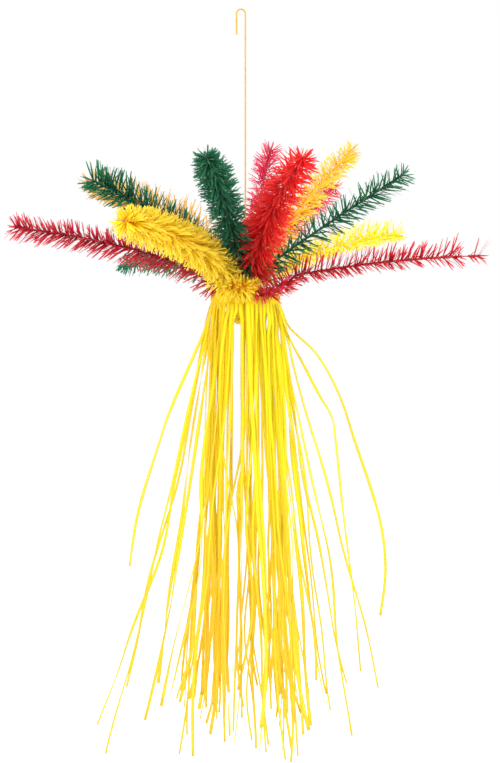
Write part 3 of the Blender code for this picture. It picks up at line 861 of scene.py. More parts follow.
def wound_core(tree, source):
    """The uncut edge of the tissue, wound round the wire wherever the fringe has blades."""
    line = add(tree, "GeometryNodeResampleCurve", {"mode": "LENGTH"},
               {"Curve": source["Geometry"], "Length": CORE_STEP})
    length = add(tree, "GeometryNodeSplineParameter", out="Length")
    wound = coil_round(tree, line, maths(tree, "MULTIPLY", length, math.tau / CORE_TURN),
                       CORE_OFFSET)
    covered = add(tree, "FunctionNodeCompare", {"data_type": "FLOAT"},
                  {"A": add(tree, "GeometryNodeInputRadius"), "B": BARE_BELOW})
    thickness = maths(tree, "MAXIMUM", covered, BARE_CORE)
    even = add(tree, "GeometryNodeSetCurveRadius", feeds={"Curve": wound, "Radius": thickness})
    core = tube(tree, even, CORE_SIDES, CORE_RADIUS,
                {"Scale": add(tree, "GeometryNodeInputRadius")})
    part_way = keep_value(tree, core, "along", CORE_ALONG)
    return keep_value(tree, part_way, "shade", CORE_SHADE)


def cut_blade(name, sizes, rng):
    """A blade of tissue from the origin along +Z: closed, creased down its middle, curled."""
    curl = rng.uniform(*BLADE_CURL)
    twist = rng.uniform(-BLADE_TWIST, BLADE_TWIST)
    blade = bmesh.new()
    along = blade.verts.layers.float.new("along")
    rows = []
    spot = Vector()
    for step, width_share in enumerate(BLADE_WIDTHS):
        share = step / BLADE_STEPS
        heading = Vector((-math.sin(curl * share), 0.0, math.cos(curl * share)))
        across = Vector((0.0, 1.0, 0.0))
        face = heading.cross(across)
        turn = twist * share
        wide = across * math.cos(turn) + face * math.sin(turn)
        high = face * math.cos(turn) - across * math.sin(turn)
        half = sizes.blade_width * width_share / 2
        crease = high * sizes.blade_width * width_share * BLADE_CREASE
        row = [blade.verts.new(spot - wide * half), blade.verts.new(spot + wide * half),
               blade.verts.new(spot + crease)]
        for corner in row:
            corner[along] = share
        rows.append(row)
        spot = spot + heading * sizes.blade_length / BLADE_STEPS
    for lower, upper in zip(rows, rows[1:]):
        for first in range(3):
            second = (first + 1) % 3
            blade.faces.new((lower[first], lower[second], upper[second], upper[first]))
    blade.faces.new(rows[0])
    blade.faces.new(rows[-1])
    bmesh.ops.recalc_face_normals(blade, faces=blade.faces)
    mesh = bpy.data.meshes.new(name)
    blade.to_mesh(mesh)
    blade.free()
    return mesh


def blade_collection(sizes):
    """The kinds of blade that the fringes are made of, off the scene."""
    kinds = bpy.data.collections.new("blade_kinds")
    rng = random.Random(sizes.seed)
    for index in range(BLADE_KINDS):
        mesh = cut_blade("blade_%d" % index, sizes, rng)
        kinds.objects.link(bpy.data.objects.new("blade_%d" % index, mesh))
    return kinds


def fringe_path(branch, steps):
    """Line that the fringe is spun round, with its fullness at each point."""
    lap = [HUB + outward(azimuth) * radius + Vector((0.0, 0.0, rise))
           for azimuth, radius, rise in LAPS.get(branch.name, ())]
    start = LAP_JOINS if lap else FRINGE_START
    reach = branch.length - FRINGE_END - start
    wire = [branch_point(branch, start + reach * step / steps) for step in range(steps + 1)]
    points = rounded(lap + wire[:2], LAP_STEPS)[:-LAP_STEPS - 1] + wire if lap else wire
    knots = FULLNESS.get(branch.name, USUAL_FULLNESS)
    fullness = [between(knots, index / (len(points) - 1)) for index in range(len(points))]
    return points, fullness


def make_fringes(sizes, finish, groups):
    """Spin each branch's fringe round its wire."""
    tree = made_once(spun_fringe)
    kinds = blade_collection(sizes)
    for index, branch in enumerate(BRANCHES):
        name = branch.name
        tissue = fringe_tissue(name, DYES_SHADE_AND_HIGHLIGHT[name], groups, finish)
        points, fullness = fringe_path(branch, FRINGE_STEPS)
        guide = guide_curve("fringe_guide", points, fullness)
        count = sizes.blades * BLADE_SHARE.get(name, 1.0) * branch.length / BRANCH_LENGTH
        piece = grow(guide, tree, {
            "Blades": kinds, "Blade Count": round(count),
            "Blade Width": 1.0, "Spiral Pitch": sizes.spiral_pitch,
            "Spiral Spread": sizes.spiral_spread, "Lean Spread": sizes.lean_spread,
            "Seed": SEEDS_APART * index, "Tissue": tissue, **FRINGE_INPUTS.get(name, {})},
            "spun_fringe_" + name)
        finish_piece(piece, "fringe_" + name)
    for kind in list(kinds.objects):
        mesh = kind.data
        bpy.data.objects.remove(kind)
        bpy.data.meshes.remove(mesh)
    bpy.data.collections.remove(kinds)


# Skirt

SHEET_THICKNESS = 0.00012
HEADER_STEPS = 4               # rows between two points of the header's section
HEADER_COLUMNS = 6             # columns of the header to each strip
HEADER_ALONG = 0.16            # where the header ends between the collar and the strips' ends
PLEAT_DEPTH = 0.0009
PLEAT_WAVES = ((1.0, 0.55, 0), (0.6, 0.23, 1), (0.7, 1.3, 2))  # height, pace, shift by sheet
PLEAT_HEIGHT = 2.3             # of all waves together
PLEAT_OUTWARD = 0.5            # share of a pleat's depth by which it stands out
PLEAT_PAINTED_SHADE = 0.5                # painted shade: the edge colour in the deepest pleat

# How a strip hangs: azimuth at the header and below it, drift, share of its layer's spread, and
# the drop at which it ends
Traits = namedtuple("Traits", "header_azimuth azimuth drift spread end")
STRIP_ROWS = 40
ROW_CROWDING = 1.5             # above 1, the rows crowd towards the slit
BESIDE_SOLID = 0.34            # strips of the solids: how near a strip counts as beside one
BESIDE_DRIFT = 0.12            # share of its drift that such a strip keeps
TURNED_BY = 0.08               # share of the fall by which a strip is at its own azimuth
WAVE_AZIMUTH = (1.0, 3.0)      # degrees that a strip waves round
WAVE_PACE = 5.0                # radians of a wave in the full fall
SWAY_PACE = 4.0
SWAY_SHEETS_APART = 20.0       # in the noise, from sheet to sheet
SWAY_STRIPS_APART = 1.7        # in the noise, from strip to strip
SWAY_GROWTH = 3                # sway against the fall, up to
SWAY_MOST = 1.6
FLICK_SHARE = 0.20             # share of a strip, at its end, that turns aside
FLICK_CHANCE = 3.0             # makes another chance value of a strip's phase

# How a strip folds and twists along its length
FOLD_CHANCE = 5.0              # makes another chance value of a strip's phase
FOLD_RAMP = 0.25               # share of a strip along which its fold closes
HEADER_FULLNESS = 0.18         # how much fuller a strip is where it leaves the header
STRIP_CUP = 0.16               # radians that every strip is cupped
STRAY_FOLD = 0.75              # share of the full fold that a strip with its own route has
TWIST_PACE = 9.0
TWIST_BACK = 0.5               # share of the twist that turns to and fro

# How light the tissue is: level, painted shade by its folds or tone by chance, painted light from
# left to right
HEADER_SHADE = (0.35, 0.25, 0.3)
STRIP_SHADE = (0.22, 0.32, 0.50)

# Partings through the skirt, front to back: (drop, sideways from the hub, half width)
PARTINGS = (
    ((0.034, -0.0100, 0.0), (0.047, -0.0098, 0.0054), (0.235, -0.0108, 0.0062),
     (0.262, -0.0135, 0.0012), (0.290, -0.0152, 0.0055), (0.350, -0.0158, 0.0068),
     (0.430, -0.0172, 0.0048), (0.597, -0.0185, 0.0014)),
    ((0.025, -0.0240, 0.0), (0.028, -0.0240, 0.0014), (0.037, -0.0248, 0.0014),
     (0.044, -0.0250, 0.0)),
    ((0.029, -0.0322, 0.0), (0.036, -0.0322, 0.0014), (0.062, -0.0328, 0.0014),
     (0.074, -0.0332, 0.0)),
    ((0.038, 0.0272, 0.0), (0.043, 0.0272, 0.0013), (0.054, 0.0276, 0.0013),
     (0.062, 0.0280, 0.0)),
    ((0.052, 0.0420, 0.0), (0.058, 0.0424, 0.0016), (0.070, 0.0430, 0.0016),
     (0.080, 0.0436, 0.0)),
)
PARTING_SOFTNESS = 0.0030
PARTING_FULL = 0.0012          # half width from which a parting pushes in full

# Strips whose own route shows in the photo: (sideways, forward, drop) from the hub
STRAYS = {
    ("outer", 3, 0): ((-0.0493, 0.002, 0.051), (-0.0655, 0.004, 0.1425), (-0.0880, 0.004, 0.246),
                      (-0.0985, 0.004, 0.311), (-0.1110, 0.002, 0.355), (-0.1390, 0.000, 0.424),
                      (-0.1570, 0.000, 0.476), (-0.1855, 0.000, 0.551)),
    ("outer", 3, 2): ((-0.0490, 0.012, 0.055), (-0.0618, 0.016, 0.085), (-0.0930, 0.020, 0.1575),
                      (-0.1055, 0.022, 0.195), (-0.1318, 0.024, 0.281), (-0.1430, 0.024, 0.350)),
    ("outer", 3, 7): ((-0.0290, 0.040, 0.070), (-0.0300, 0.046, 0.182), (-0.0165, 0.056, 0.262),
                      (-0.0100, 0.056, 0.295), (-0.0065, 0.056, 0.345), (-0.0055, 0.058, 0.420),
                      (-0.0040, 0.060, 0.530)),
    ("outer", 0, 1): ((0.0066, 0.046, 0.080), (0.0000, 0.050, 0.170), (-0.0050, 0.052, 0.208),
                      (-0.0155, 0.052, 0.262), (-0.0240, 0.052, 0.320), (-0.0270, 0.054, 0.350),
                      (-0.0280, 0.056, 0.420), (-0.0250, 0.058, 0.560)),
    ("outer", 0, 11): ((0.0458, 0.004, 0.034), (0.0560, 0.006, 0.056), (0.0895, 0.010, 0.089),
                       (0.1170, 0.010, 0.139), (0.1358, 0.010, 0.195), (0.1658, 0.010, 0.2875),
                       (0.1745, 0.008, 0.355), (0.1680, 0.006, 0.414)),
    ("outer", 0, 9): ((0.0533, 0.014, 0.065), (0.0720, 0.018, 0.101), (0.0895, 0.020, 0.135),
                      (0.1058, 0.022, 0.165), (0.1120, 0.024, 0.200), (0.1220, 0.026, 0.295),
                      (0.1340, 0.026, 0.395), (0.1420, 0.026, 0.480)),
}
LONGEST_STRIP = (0, 2)         # sheet and strip of the outer layer
LONGEST_SPREAD = 0.08
# Inner strips that end just below the slits, and where
STUBS = {("inner", 3, 2): 0.0500, ("inner", 3, 3): 0.0498, ("inner", 3, 4): 0.0500}


def layer_profile(outer):
    """Header of a layer as (radius, drop): collar, fold, shoulder, lower edge."""
    if outer:
        collar, top, shoulder = OUTER_COLLAR_RADIUS, OUTER_COLLAR_TOP, OUTER_SHOULDER_RADIUS
    else:
        collar, top, shoulder = INNER_COLLAR_RADIUS, INNER_COLLAR_TOP, INNER_SHOULDER_RADIUS
    bends = [Vector((shoulder * share, top + drop)) for share, drop in (FOLD_OVER, SHOULDER_CREST)]
    return (Vector((collar, COLLAR_BOTTOM)), Vector((collar, top)), *bends,
            Vector((shoulder, SLIT_TOP)))


def strip_radius(outer, spread, drop):
    """Radius of a strip's path at a drop, for a strip whose spread is a share of its range."""
    low, high = OUTER_SPREAD if outer else INNER_SPREAD
    start = OUTER_SHOULDER_RADIUS if outer else INNER_SHOULDER_RADIUS
    fall = (drop - SLIT_TOP) / (SKIRT_LENGTH - SLIT_TOP)
    flare = LOOSE_FLARE + (WIDE_FLARE - LOOSE_FLARE) * spread
    return start + (low + (high - low) * spread - start) * fall ** flare


def sheet_span(outer, index):
    """First azimuth of a sheet and the angle that it spans."""
    first = 360.0 * (index + (0.0 if outer else 0.5)) / SHEETS_PER_LAYER
    return first, 360.0 / SHEETS_PER_LAYER - SHEET_GAP_ANGLE


def strip_traits(outer, index, sizes):
    """How each strip of a sheet hangs.

    Strips next to one of the solids hang as it does, and those between two drift more freely.
    """
    rng = random.Random(SKIRT_SEED + index + (0 if outer else SHEETS_PER_LAYER))
    spreads = [rng.random() for _ in range(SOLID_STRIPS)]
    ends = [rng.random() ** END_SKEW for _ in range(SOLID_STRIPS)]
    first, span = sheet_span(outer, index)
    traits = []
    for strip in range(sizes.strips):
        share = (strip + 0.5) / sizes.strips
        nearest = round(share * SOLID_STRIPS - 0.5)
        beside = abs(share * SOLID_STRIPS - 0.5 - nearest) < BESIDE_SOLID
        hung = first + span * (nearest + 0.5) / SOLID_STRIPS
        wide = rng.uniform(-1.0, 1.0) * (sizes.outer_drift if outer else sizes.inner_drift)
        spread, end = rng.random() ** sizes.spread_skew, rng.random() ** END_SKEW
        if beside:
            spread, end = spreads[nearest], ends[nearest]
        if outer and (index, strip) == LONGEST_STRIP:
            spread, end = LONGEST_SPREAD, 0.0
        own = first + span * share
        traits.append(Traits(own, hung if beside else own, BESIDE_DRIFT * wide if beside else wide,
                             spread, SKIRT_LENGTH * (1.0 - END_SPREAD * end)))
    return traits


def parted(line, drops):
    """Push a strip's line aside, to its own side of every parting."""
    for parting in PARTINGS:
        centres = [(drop, centre) for drop, centre, _ in parting]
        halves = [(drop, half) for drop, _, half in parting]
        gaps = [spot.x - HUB.x - between(centres, drop) for spot, drop in zip(line, drops)]
        widths = [between(halves, drop) for drop in drops]
        side = math.copysign(1.0, sum(gap * half for gap, half in zip(gaps, widths)))
        for spot, gap, half in zip(line, gaps, widths):
            over = side * gap - half
            clear = half + (over + math.hypot(over, PARTING_SOFTNESS)) / 2
            weight = min(1.0, half / PARTING_FULL)
            spot.x += side * (clear - side * gap) * weight


def strip_path(outer, index, strip, traits, sizes, rng):
    """Centreline of a hanging strip, which drifts, waves and parts as loose tissue does."""
    header_azimuth, azimuth, drift, spread, end = traits
    layer = "outer" if outer else "inner"
    wave, phase = rng.uniform(*WAVE_AZIMUTH), rng.uniform(0.0, math.tau)
    flick = sizes.end_flick * math.sin(FLICK_CHANCE * phase + strip)
    stray = STRAYS.get((layer, index, strip))
    if stray:
        points = [place(header_azimuth, OUTER_SHOULDER_RADIUS, SLIT_TOP)]
        points += [HUB + Vector((aside, -forward, -drop)) for aside, forward, drop in stray]
        return rounded(points, STRIP_ROWS // (len(points) - 1))
    end = STUBS.get((layer, index, strip), end)
    line = []
    drops = []
    for row in range(STRIP_ROWS + 1):
        t = (row / STRIP_ROWS) ** ROW_CROWDING
        drop = SLIT_TOP + (end - SLIT_TOP) * t
        fall = (drop - SLIT_TOP) / (SKIRT_LENGTH - SLIT_TOP)
        waved = math.sin(phase + fall * WAVE_PACE) - math.sin(phase)
        turn = azimuth + drift * fall + wave * waved
        turn += (header_azimuth - azimuth) * max(0.0, 1.0 - fall / TURNED_BY)
        spot = place(turn, strip_radius(outer, spread, drop), drop)
        sway = noise.noise_vector(Vector((
            fall * SWAY_PACE, index * SWAY_SHEETS_APART + strip * SWAY_STRIPS_APART, phase)))
        grown = min(SWAY_MOST, SWAY_GROWTH * fall)
        spot += Vector((sway.x, sway.y, 0.0)) * sizes.sway * grown
        flicked = max(0.0, (t - (1.0 - FLICK_SHARE)) / FLICK_SHARE) ** 2
        spot += outward(turn + 90.0) * flick * flicked
        line.append(spot)
        drops.append(drop)
    if (layer, index, strip) not in STUBS:
        parted(line[1:], drops[1:])
    return line


def strip_edges(line, azimuth, sizes, key, rng):
    """Left edge, middle and right edge of a strip that folds lengthwise and twists as it hangs."""
    twist = 0.0 if key in STUBS else sizes.twist
    first_turn, second_turn = rng.uniform(-twist, twist), rng.uniform(-twist, twist) * TWIST_BACK
    phase = rng.uniform(0.0, math.tau)
    fold = sizes.fold * (0.5 + 0.5 * math.sin(FOLD_CHANCE * phase))
    if key in STRAYS:
        fold = STRAY_FOLD * sizes.fold
    if key in STUBS:
        fold = 0.0
    rows = []
    for row in range(1, len(line)):
        t = row / (len(line) - 1)
        near = 1.0 if key in STUBS else max(0.0, 1.0 - t / FOLD_RAMP)
        width = sizes.strip_width * (1.0 + HEADER_FULLNESS * near)
        ahead = line[min(row + 1, len(line) - 1)] - line[row - 1]
        ahead.normalize()
        level = outward(azimuth + 90.0)
        level = (level - ahead * level.dot(ahead)).normalized()
        to_and_fro = math.sin(phase + t * TWIST_PACE) - math.sin(phase)
        turn = first_turn * t + second_turn * to_and_fro
        wide = level * math.cos(turn) + ahead.cross(level) * math.sin(turn)
        closed = STRIP_CUP + fold * (1.0 - near)
        half = wide * width / 2 * math.cos(closed)
        cup = ahead.cross(wide) * width / 2 * math.sin(closed)
        rows.append((line[row] - half, line[row] + cup, line[row] + half))
    return rows


def header_fold(azimuth, index):
    """Height of the gathered header's folds at an azimuth, from -1 to 1."""
    return sum(height * math.sin(azimuth * pace + shift * index)
               for height, pace, shift in PLEAT_WAVES) / PLEAT_HEIGHT


def raise_header(sheet, values, outer, index, strips):
    """Pleated header from the collar to the slits. Gives its length and its lowest corners."""
    along, across, shade = values
    level, painted_shade_by_fold, painted_light_by_side = HEADER_SHADE
    first_azimuth, span = sheet_span(outer, index)
    columns = HEADER_COLUMNS * strips
    profile = rounded(layer_profile(outer), HEADER_STEPS)
    above = []
    for row, (radius, drop) in enumerate(profile):
        corners = []
        for column in range(columns + 1):
            azimuth = first_azimuth + span * column / columns
            fold = header_fold(azimuth, index)
            depth = PLEAT_DEPTH * fold * min(1.0, radius / INNER_SHOULDER_RADIUS)
            corner = sheet.verts.new(place(azimuth, radius + PLEAT_OUTWARD * depth, drop - depth))
            corner[along] = HEADER_ALONG * row / (len(profile) - 1)
            # painted shade: the edge colour in the pleats' valleys
            corner[across] = max(0.0, -PLEAT_PAINTED_SHADE * fold)
            # painted shade in the pleats' valleys, painted light towards the right
            corner[shade] = level + painted_shade_by_fold * fold + painted_light_by_side * math.sin(math.radians(azimuth))
            corners.append(corner)
        for column in range(len(above) - 1):
            sheet.faces.new((above[column], corners[column], corners[column + 1],
                             above[column + 1]))
        above = corners
    return sum((b - a).length for a, b in zip(profile, profile[1:])), above


def hang_strip(sheet, values, hem, edges, tone):
    """Hang a strip's rows of three corners from its share of the header's lowest corners."""
    along, across, shade = values
    half = HEADER_COLUMNS // 2
    above = (hem[:half + 1], hem[half:])
    for row, spots in enumerate(edges):
        below = []
        for side, spot in enumerate(spots):
            corner = sheet.verts.new(spot)
            corner[along] = HEADER_ALONG + (1.0 - HEADER_ALONG) * (row + 1) / len(edges)
            corner[across] = abs(side - 1.0)
            corner[shade] = tone
            below.append(corner)
        for side in (0, 1):
            sheet.faces.new((*reversed(above[side]), below[side], below[side + 1]))
        above = (below[:2], below[1:])


def make_skirt_sheet(outer, index, sizes, finish):
    """A flat sheet, slit into strips below its header, gathered at the neck and hung."""
    layer = "outer" if outer else "inner"
    rng = random.Random(sizes.seed + index + (0 if outer else SHEETS_PER_LAYER))
    noise.seed_set(SKIRT_SEED)
    sheet = bmesh.new()
    values = [sheet.verts.layers.float.new(name) for name in ("along", "across", "shade")]
    header_length, hem = raise_header(sheet, values, outer, index, sizes.strips)
    level, by_chance, painted_light_by_side = STRIP_SHADE
    for strip, traits in enumerate(strip_traits(outer, index, sizes)):
        azimuth = traits.azimuth
        line = strip_path(outer, index, strip, traits, sizes, rng)
        # tone at random, plus painted light: strips on the right are lighter
        tone = level + rng.uniform(0.0, by_chance)
        tone += painted_light_by_side * (0.5 + 0.5 * math.sin(math.radians(azimuth)))
        edges = strip_edges(line, azimuth, sizes, (layer, index, strip), rng)
        first = HEADER_COLUMNS * strip
        hang_strip(sheet, values, hem[first:first + HEADER_COLUMNS + 1], edges, tone)
    mesh = bpy.data.meshes.new("skirt_%s_%d" % (layer, index + 1))
    bmesh.ops.recalc_face_normals(sheet, faces=sheet.faces)
    sheet.to_mesh(mesh)
    sheet.free()
    mesh.materials.append(finish)
    mesh.shade_smooth()
    piece = bpy.data.objects.new("strip_skirt_%s_%d" % (layer, index + 1), mesh)
    bpy.context.scene.collection.objects.link(piece)
    wall = piece.modifiers.new("tissue", "SOLIDIFY")
    wall.thickness = SHEET_THICKNESS
    wall.offset = 0.0
    finish_piece(piece, "skirt_sheet_%s_%d" % (layer, index + 1))


# Stage

# Lamps: name, place, size, the setting that holds its power
LAMPS = (
    ("key_light", (1.2, -1.6, 0.7), 1.2, "key_power"),
    ("fill_light", (-1.5, -1.1, -0.1), 1.4, "fill_power"),
    ("back_light", (-0.5, 1.8, 0.2), 1.6, "back_power"),
)
LAMPS_AIM_DROP = 0.10          # below the hub
SENSOR_WIDTH = 36.0            # millimetres


def make_stage(look):
    """Floor, light and the photograph's camera."""
    scene = bpy.context.scene
    bpy.ops.mesh.primitive_plane_add(size=look.floor_size,
                                     location=(HUB.x, 0.0, HUB.z - SKIRT_LENGTH - look.floor_gap))
    floor = bpy.context.object
    floor.name = "studio_floor"
    floor.data.materials.append(floor_material())
    make_world(scene, look.world_light)
    target = Vector((HUB.x, 0.0, HUB.z - LAMPS_AIM_DROP))
    for name, spot, size, power in LAMPS:
        add_lamp(name, Vector(spot), target, size, getattr(look, power))
    camera = bpy.data.cameras.new("studio_camera")
    camera.sensor_width = SENSOR_WIDTH
    camera.lens = look.lens
    holder = bpy.data.objects.new("studio_camera", camera)
    holder.location = (look.camera_side, -look.camera_distance, -look.camera_drop)
    holder.rotation_euler = (math.radians(90.0), 0.0, 0.0)
    scene.collection.objects.link(holder)
    scene.camera = holder
    scene.view_settings.view_transform = "Standard"


def make_world(scene, strength):
    """Light from all round, behind which the camera sees plain white."""
    world = bpy.data.worlds.new("studio_light")
    world.use_nodes = True
    scene.world = world
    tree = world.node_tree
    tree.nodes.clear()
    plain = add(tree, "ShaderNodeBackground", feeds={"Color": WHITE, "Strength": strength})
    white = add(tree, "ShaderNodeBackground", feeds={"Color": WHITE, "Strength": 1.0})
    mixed = add(tree, "ShaderNodeMixShader", feeds={0: seen_directly(tree), 1: plain, 2: white})
    end = tree.nodes.new("ShaderNodeOutputWorld")
    tree.links.new(mixed, end.inputs["Surface"])


def seen_directly(tree):
    """1 for rays from the camera, off gloss or through glass, 0 for light on the object."""
    path = tree.nodes.new("ShaderNodeLightPath")
    gloss = maths(tree, "MAXIMUM", path.outputs["Is Camera Ray"], path.outputs["Is Glossy Ray"])
    return maths(tree, "MAXIMUM", gloss, path.outputs["Is Transmission Ray"])


def floor_material():
    """White floor that still takes a soft shadow."""
    material, tree = blank_material("white_floor", (0.9, 0.9, 0.9))
    grain = add(tree, "ShaderNodeTexNoise", feeds={"Scale": 3.0, "Detail": 2.0})
    tone = add(tree, "ShaderNodeMapRange", feeds={"Value": grain, "To Min": 0.88, "To Max": 0.92})
    matt = add(tree, "ShaderNodeBsdfDiffuse", feeds={"Color": tone})
    glow = add(tree, "ShaderNodeEmission", feeds={"Strength": 0.5})
    both = add(tree, "ShaderNodeAddShader", feeds={0: matt, 1: glow})
    add_output(tree, add(tree, "ShaderNodeMixShader",
                         feeds={0: seen_directly(tree), 1: matt, 2: both}))
    return material


def add_lamp(name, spot, target, size, power):
    """A round lamp that looks at its target."""
    lamp = bpy.data.lights.new(name, "AREA")
    lamp.shape = "DISK"
    lamp.size = size
    lamp.energy = power
    holder = bpy.data.objects.new(name, lamp)
    holder.location = spot
    holder.rotation_euler = (target - spot).to_track_quat("-Z", "Y").to_euler()
    bpy.context.scene.collection.objects.link(holder)


# Settings


def colour_property(name, description, colour):
    return bpy.props.FloatVectorProperty(name=name, description=description, subtype="COLOR",
                                         size=3, min=0.0, max=1.0, default=linear(*colour))


def length_property(name, description, default, low=0.0):
    return bpy.props.FloatProperty(name=name, description=description, default=default, min=low,
                                   unit="LENGTH")


def angle_property(name, description, default):
    return bpy.props.FloatProperty(name=name, description=description, default=default, min=0.0,
                                   subtype="ANGLE")


def share_property(name, description, default):
    return bpy.props.FloatProperty(name=name, description=description, default=default, min=0.0,
                                   max=1.0, subtype="FACTOR")


def number_property(name, description, default, low=0.0):
    return bpy.props.FloatProperty(name=name, description=description, default=default, min=low)


def count_property(name, description, default, low=0):
    return bpy.props.IntProperty(name=name, description=description, default=default, min=low)


class SprayColours(bpy.types.PropertyGroup):
    """Colours that all pieces of one kind share."""
    hanger: colour_property("Hanger", "Coat of the hanger wire", (206, 166, 36))
    hanger_worn: colour_property("Hanger Worn", "Coat where it is rubbed", (174, 134, 28))
    steel: colour_property("Wire", "Branch and binding wire", (150, 146, 140))
    steel_worn: colour_property("Wire Worn", "Wire where it is dull", (104, 98, 92))
    lacquer: colour_property("Lacquer", "Wire of the low right branch", (150, 60, 70))
    lacquer_worn: colour_property("Lacquer Worn", "That wire where it is dull", (110, 40, 50))
    tie: colour_property("Tie", "Twine of the skirt tie", (236, 196, 50))
    # painted shade between the twine's fibres
    tie_fibre_shade: colour_property("Tie Shade", "Twine between its fibres", (196, 148, 30))
    # golden where gathered, and painted shade on the left side and in the pleats
    skirt_gathered_and_shade: colour_property("Gathered", "Skirt where it is gathered", (255, 222, 10))
    skirt: colour_property("Skirt", "Skirt strip", (255, 246, 26))
    skirt_pale: colour_property("Skirt End", "Skirt strip at its end", (246, 208, 66))
    # the strips' cut edges, partly painted shade between the layers, and painted shade in the
    # pleats
    skirt_edge_and_shade: colour_property("Skirt Edge", "Cut edge of a strip", (240, 198, 44))


class SprayFinish(bpy.types.PropertyGroup):
    """How the paper takes the light."""
    roughness: share_property("Roughness", "Roughness of the tissue", 0.55)
    crinkle: share_property("Crinkle", "Strength of the crinkles", 0.35)
    fringe_glow: share_property("Fringe Glow", "Share of light through a blade", 0.30)
    skirt_glow: share_property("Skirt Glow", "Share of light through the skirt", 0.42)


class WireSizes(bpy.types.PropertyGroup):
    """Fineness of the wires."""
    hook_steps: count_property("Hook Steps", "Straight steps in the hook's half circle", 24, 8)
    hanger_step: length_property("Hanger Step", "Length of a step along the hanger", 0.0012,
                                 0.0002)
    wire_turn: length_property("Wire Turn", "Length of one turn of a twisted wire", 0.0070, 0.002)


class FringeSizes(bpy.types.PropertyGroup):
    """Sizes of the spun fringes."""
    blades: count_property("Blades", "Blades on a full branch", 460, 50)
    blade_length: length_property("Blade Length", "Longest blade, wire to tip", 0.0260, 0.005)
    blade_width: length_property("Blade Width", "Width of a cut blade", 0.0018, 0.0002)
    spiral_pitch: length_property("Spiral Pitch", "Length of one turn of the spun fringe", 0.0145,
                                  0.002)
    spiral_spread: angle_property("Spiral Spread", "How far a blade strays from its spiral", 0.9)
    lean_spread: angle_property("Lean Spread", "How unevenly the blades lean", 0.14)
    seed: count_property("Seed", "Seed of the blades", 7)


class SkirtSizes(bpy.types.PropertyGroup):
    """Sizes of the skirt."""
    strips: count_property("Strips", "Strips in a sheet", 12, 2)
    strip_width: length_property("Strip Width", "Width of a cut strip", 0.0050, 0.0005)
    spread_skew: number_property("Spread Skew", "Above 1, fewer strips hang wide", 1.0, 0.1)
    outer_drift: number_property("Outer Drift", "Degrees that an outer strip drifts round", 34.0)
    inner_drift: number_property("Inner Drift", "Degrees that an inner strip drifts round", 40.0)
    sway: length_property("Sway", "Sideways waves of a strip", 0.0070)
    end_flick: length_property("End Flick", "How far a strip's end turns aside", 0.011)
    fold: angle_property("Fold", "How far the most folded strip closes lengthwise", 0.80)
    twist: angle_property("Twist", "Turn of a strip along its length", 2.9)
    seed: count_property("Seed", "Seed of the strips", 11)


class StageLook(bpy.types.PropertyGroup):
    """Floor, lamps and camera."""
    floor_size: length_property("Floor Size", "Side of the floor", 14.0)
    floor_gap: length_property("Floor Gap", "Air between the longest strip and the floor", 0.20)
    world_light: number_property("World Light", "Strength of the light from all round", 0.95)
    key_power: number_property("Key", "Power of the key light in watts", 34.0)
    fill_power: number_property("Fill", "Power of the fill light in watts", 12.0)
    back_power: number_property("Back", "Power of the light from behind in watts", 26.0)
    lens: number_property("Lens", "Focal length in millimetres", 75.49, 1.0)
    camera_side: length_property("Camera Side", "Camera to the right of the hook", 0.01125, -10.0)
    camera_distance: length_property("Camera Distance", "Camera to the shank", 2.0)
    camera_drop: length_property("Camera Drop", "Camera below the hook", 0.464375, -10.0)


# Operators


class SPRAY_OT_hanger(bpy.types.Operator):
    """Make the coated hanger wire with its hook"""
    bl_idname = "spray.hanger"
    bl_label = "Hanger Wire"

    def execute(self, context):
        scene = context.scene
        make_hanger(scene.spray_wires, scene.spray_colours, material_groups())
        return {"FINISHED"}


class SPRAY_OT_branch_wires(bpy.types.Operator):
    """Make the twisted wires of the branches"""
    bl_idname = "spray.branch_wires"
    bl_label = "Branch Wires"

    def execute(self, context):
        scene = context.scene
        make_branch_wires(scene.spray_wires, scene.spray_colours, material_groups())
        return {"FINISHED"}


class SPRAY_OT_bindings(bpy.types.Operator):
    """Make the binding wire and the twine tie of the skirt"""
    bl_idname = "spray.bindings"
    bl_label = "Bindings"

    def execute(self, context):
        make_bindings(context.scene.spray_colours, material_groups())
        return {"FINISHED"}


class SPRAY_OT_fringes(bpy.types.Operator):
    """Spin the tissue fringes round the branch wires"""
    bl_idname = "spray.fringes"
    bl_label = "Spun Fringes"

    def execute(self, context):
        scene = context.scene
        make_fringes(scene.spray_fringes, scene.spray_finish, material_groups())
        return {"FINISHED"}


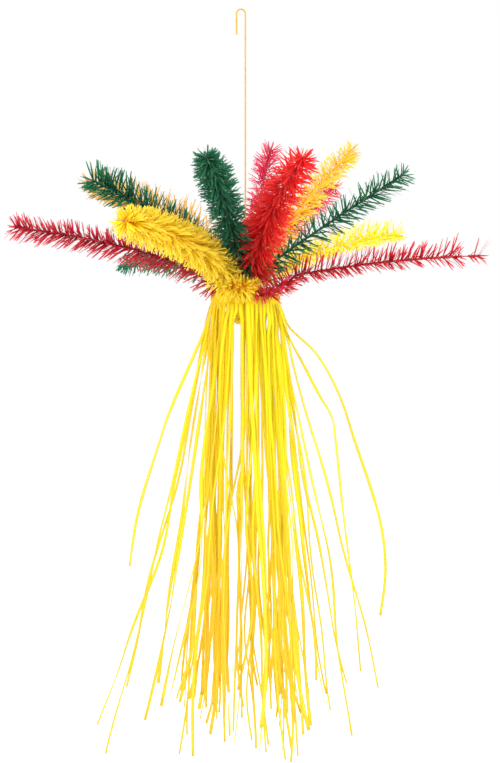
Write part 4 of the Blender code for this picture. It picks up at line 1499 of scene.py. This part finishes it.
class SPRAY_OT_skirt(bpy.types.Operator):
    """Hang the two layers of slit sheets"""
    bl_idname = "spray.skirt"
    bl_label = "Skirt"

    def execute(self, context):
        scene = context.scene
        tissue = skirt_tissue(material_groups(), scene.spray_colours, scene.spray_finish)
        for outer in (True, False):
            for index in range(SHEETS_PER_LAYER):
                make_skirt_sheet(outer, index, scene.spray_skirt, tissue)
        return {"FINISHED"}


class SPRAY_OT_stage(bpy.types.Operator):
    """Set up the floor, the lamps and the camera"""
    bl_idname = "spray.stage"
    bl_label = "Stage"

    def execute(self, context):
        make_stage(context.scene.spray_stage)
        return {"FINISHED"}


class SPRAY_PT_panel(bpy.types.Panel):
    """Lists the pieces of the spray"""
    bl_idname = "SPRAY_PT_panel"
    bl_label = "Tissue Spray"
    bl_space_type = "VIEW_3D"
    bl_region_type = "UI"
    bl_category = "Tissue Spray"

    def draw(self, context):
        for operator in OPERATORS:
            self.layout.operator(operator.bl_idname)
        for attribute_name, _ in SETTINGS:
            box = self.layout.box()
            settings = getattr(context.scene, attribute_name)
            for key in settings.bl_rna.properties.keys():
                if key not in {"rna_type", "name"}:
                    box.prop(settings, key)


SETTINGS = (
    ("spray_colours", SprayColours),
    ("spray_finish", SprayFinish),
    ("spray_wires", WireSizes),
    ("spray_fringes", FringeSizes),
    ("spray_skirt", SkirtSizes),
    ("spray_stage", StageLook),
)
OPERATORS = (SPRAY_OT_stage, SPRAY_OT_hanger, SPRAY_OT_branch_wires, SPRAY_OT_bindings,
             SPRAY_OT_fringes, SPRAY_OT_skirt)


def register():
    for name, group in SETTINGS:
        bpy.utils.register_class(group)
        setattr(bpy.types.Scene, name, bpy.props.PointerProperty(type=group))
    for operator in OPERATORS:
        bpy.utils.register_class(operator)
    bpy.utils.register_class(SPRAY_PT_panel)


def unregister():
    bpy.utils.unregister_class(SPRAY_PT_panel)
    for operator in reversed(OPERATORS):
        bpy.utils.unregister_class(operator)
    for name, group in reversed(SETTINGS):
        delattr(bpy.types.Scene, name)
        bpy.utils.unregister_class(group)


def main():
    register()
    bpy.ops.spray.stage()
    bpy.ops.spray.hanger()
    bpy.ops.spray.branch_wires()
    bpy.ops.spray.bindings()
    bpy.ops.spray.fringes()
    bpy.ops.spray.skirt()


if __name__ == "__main__":
    main()
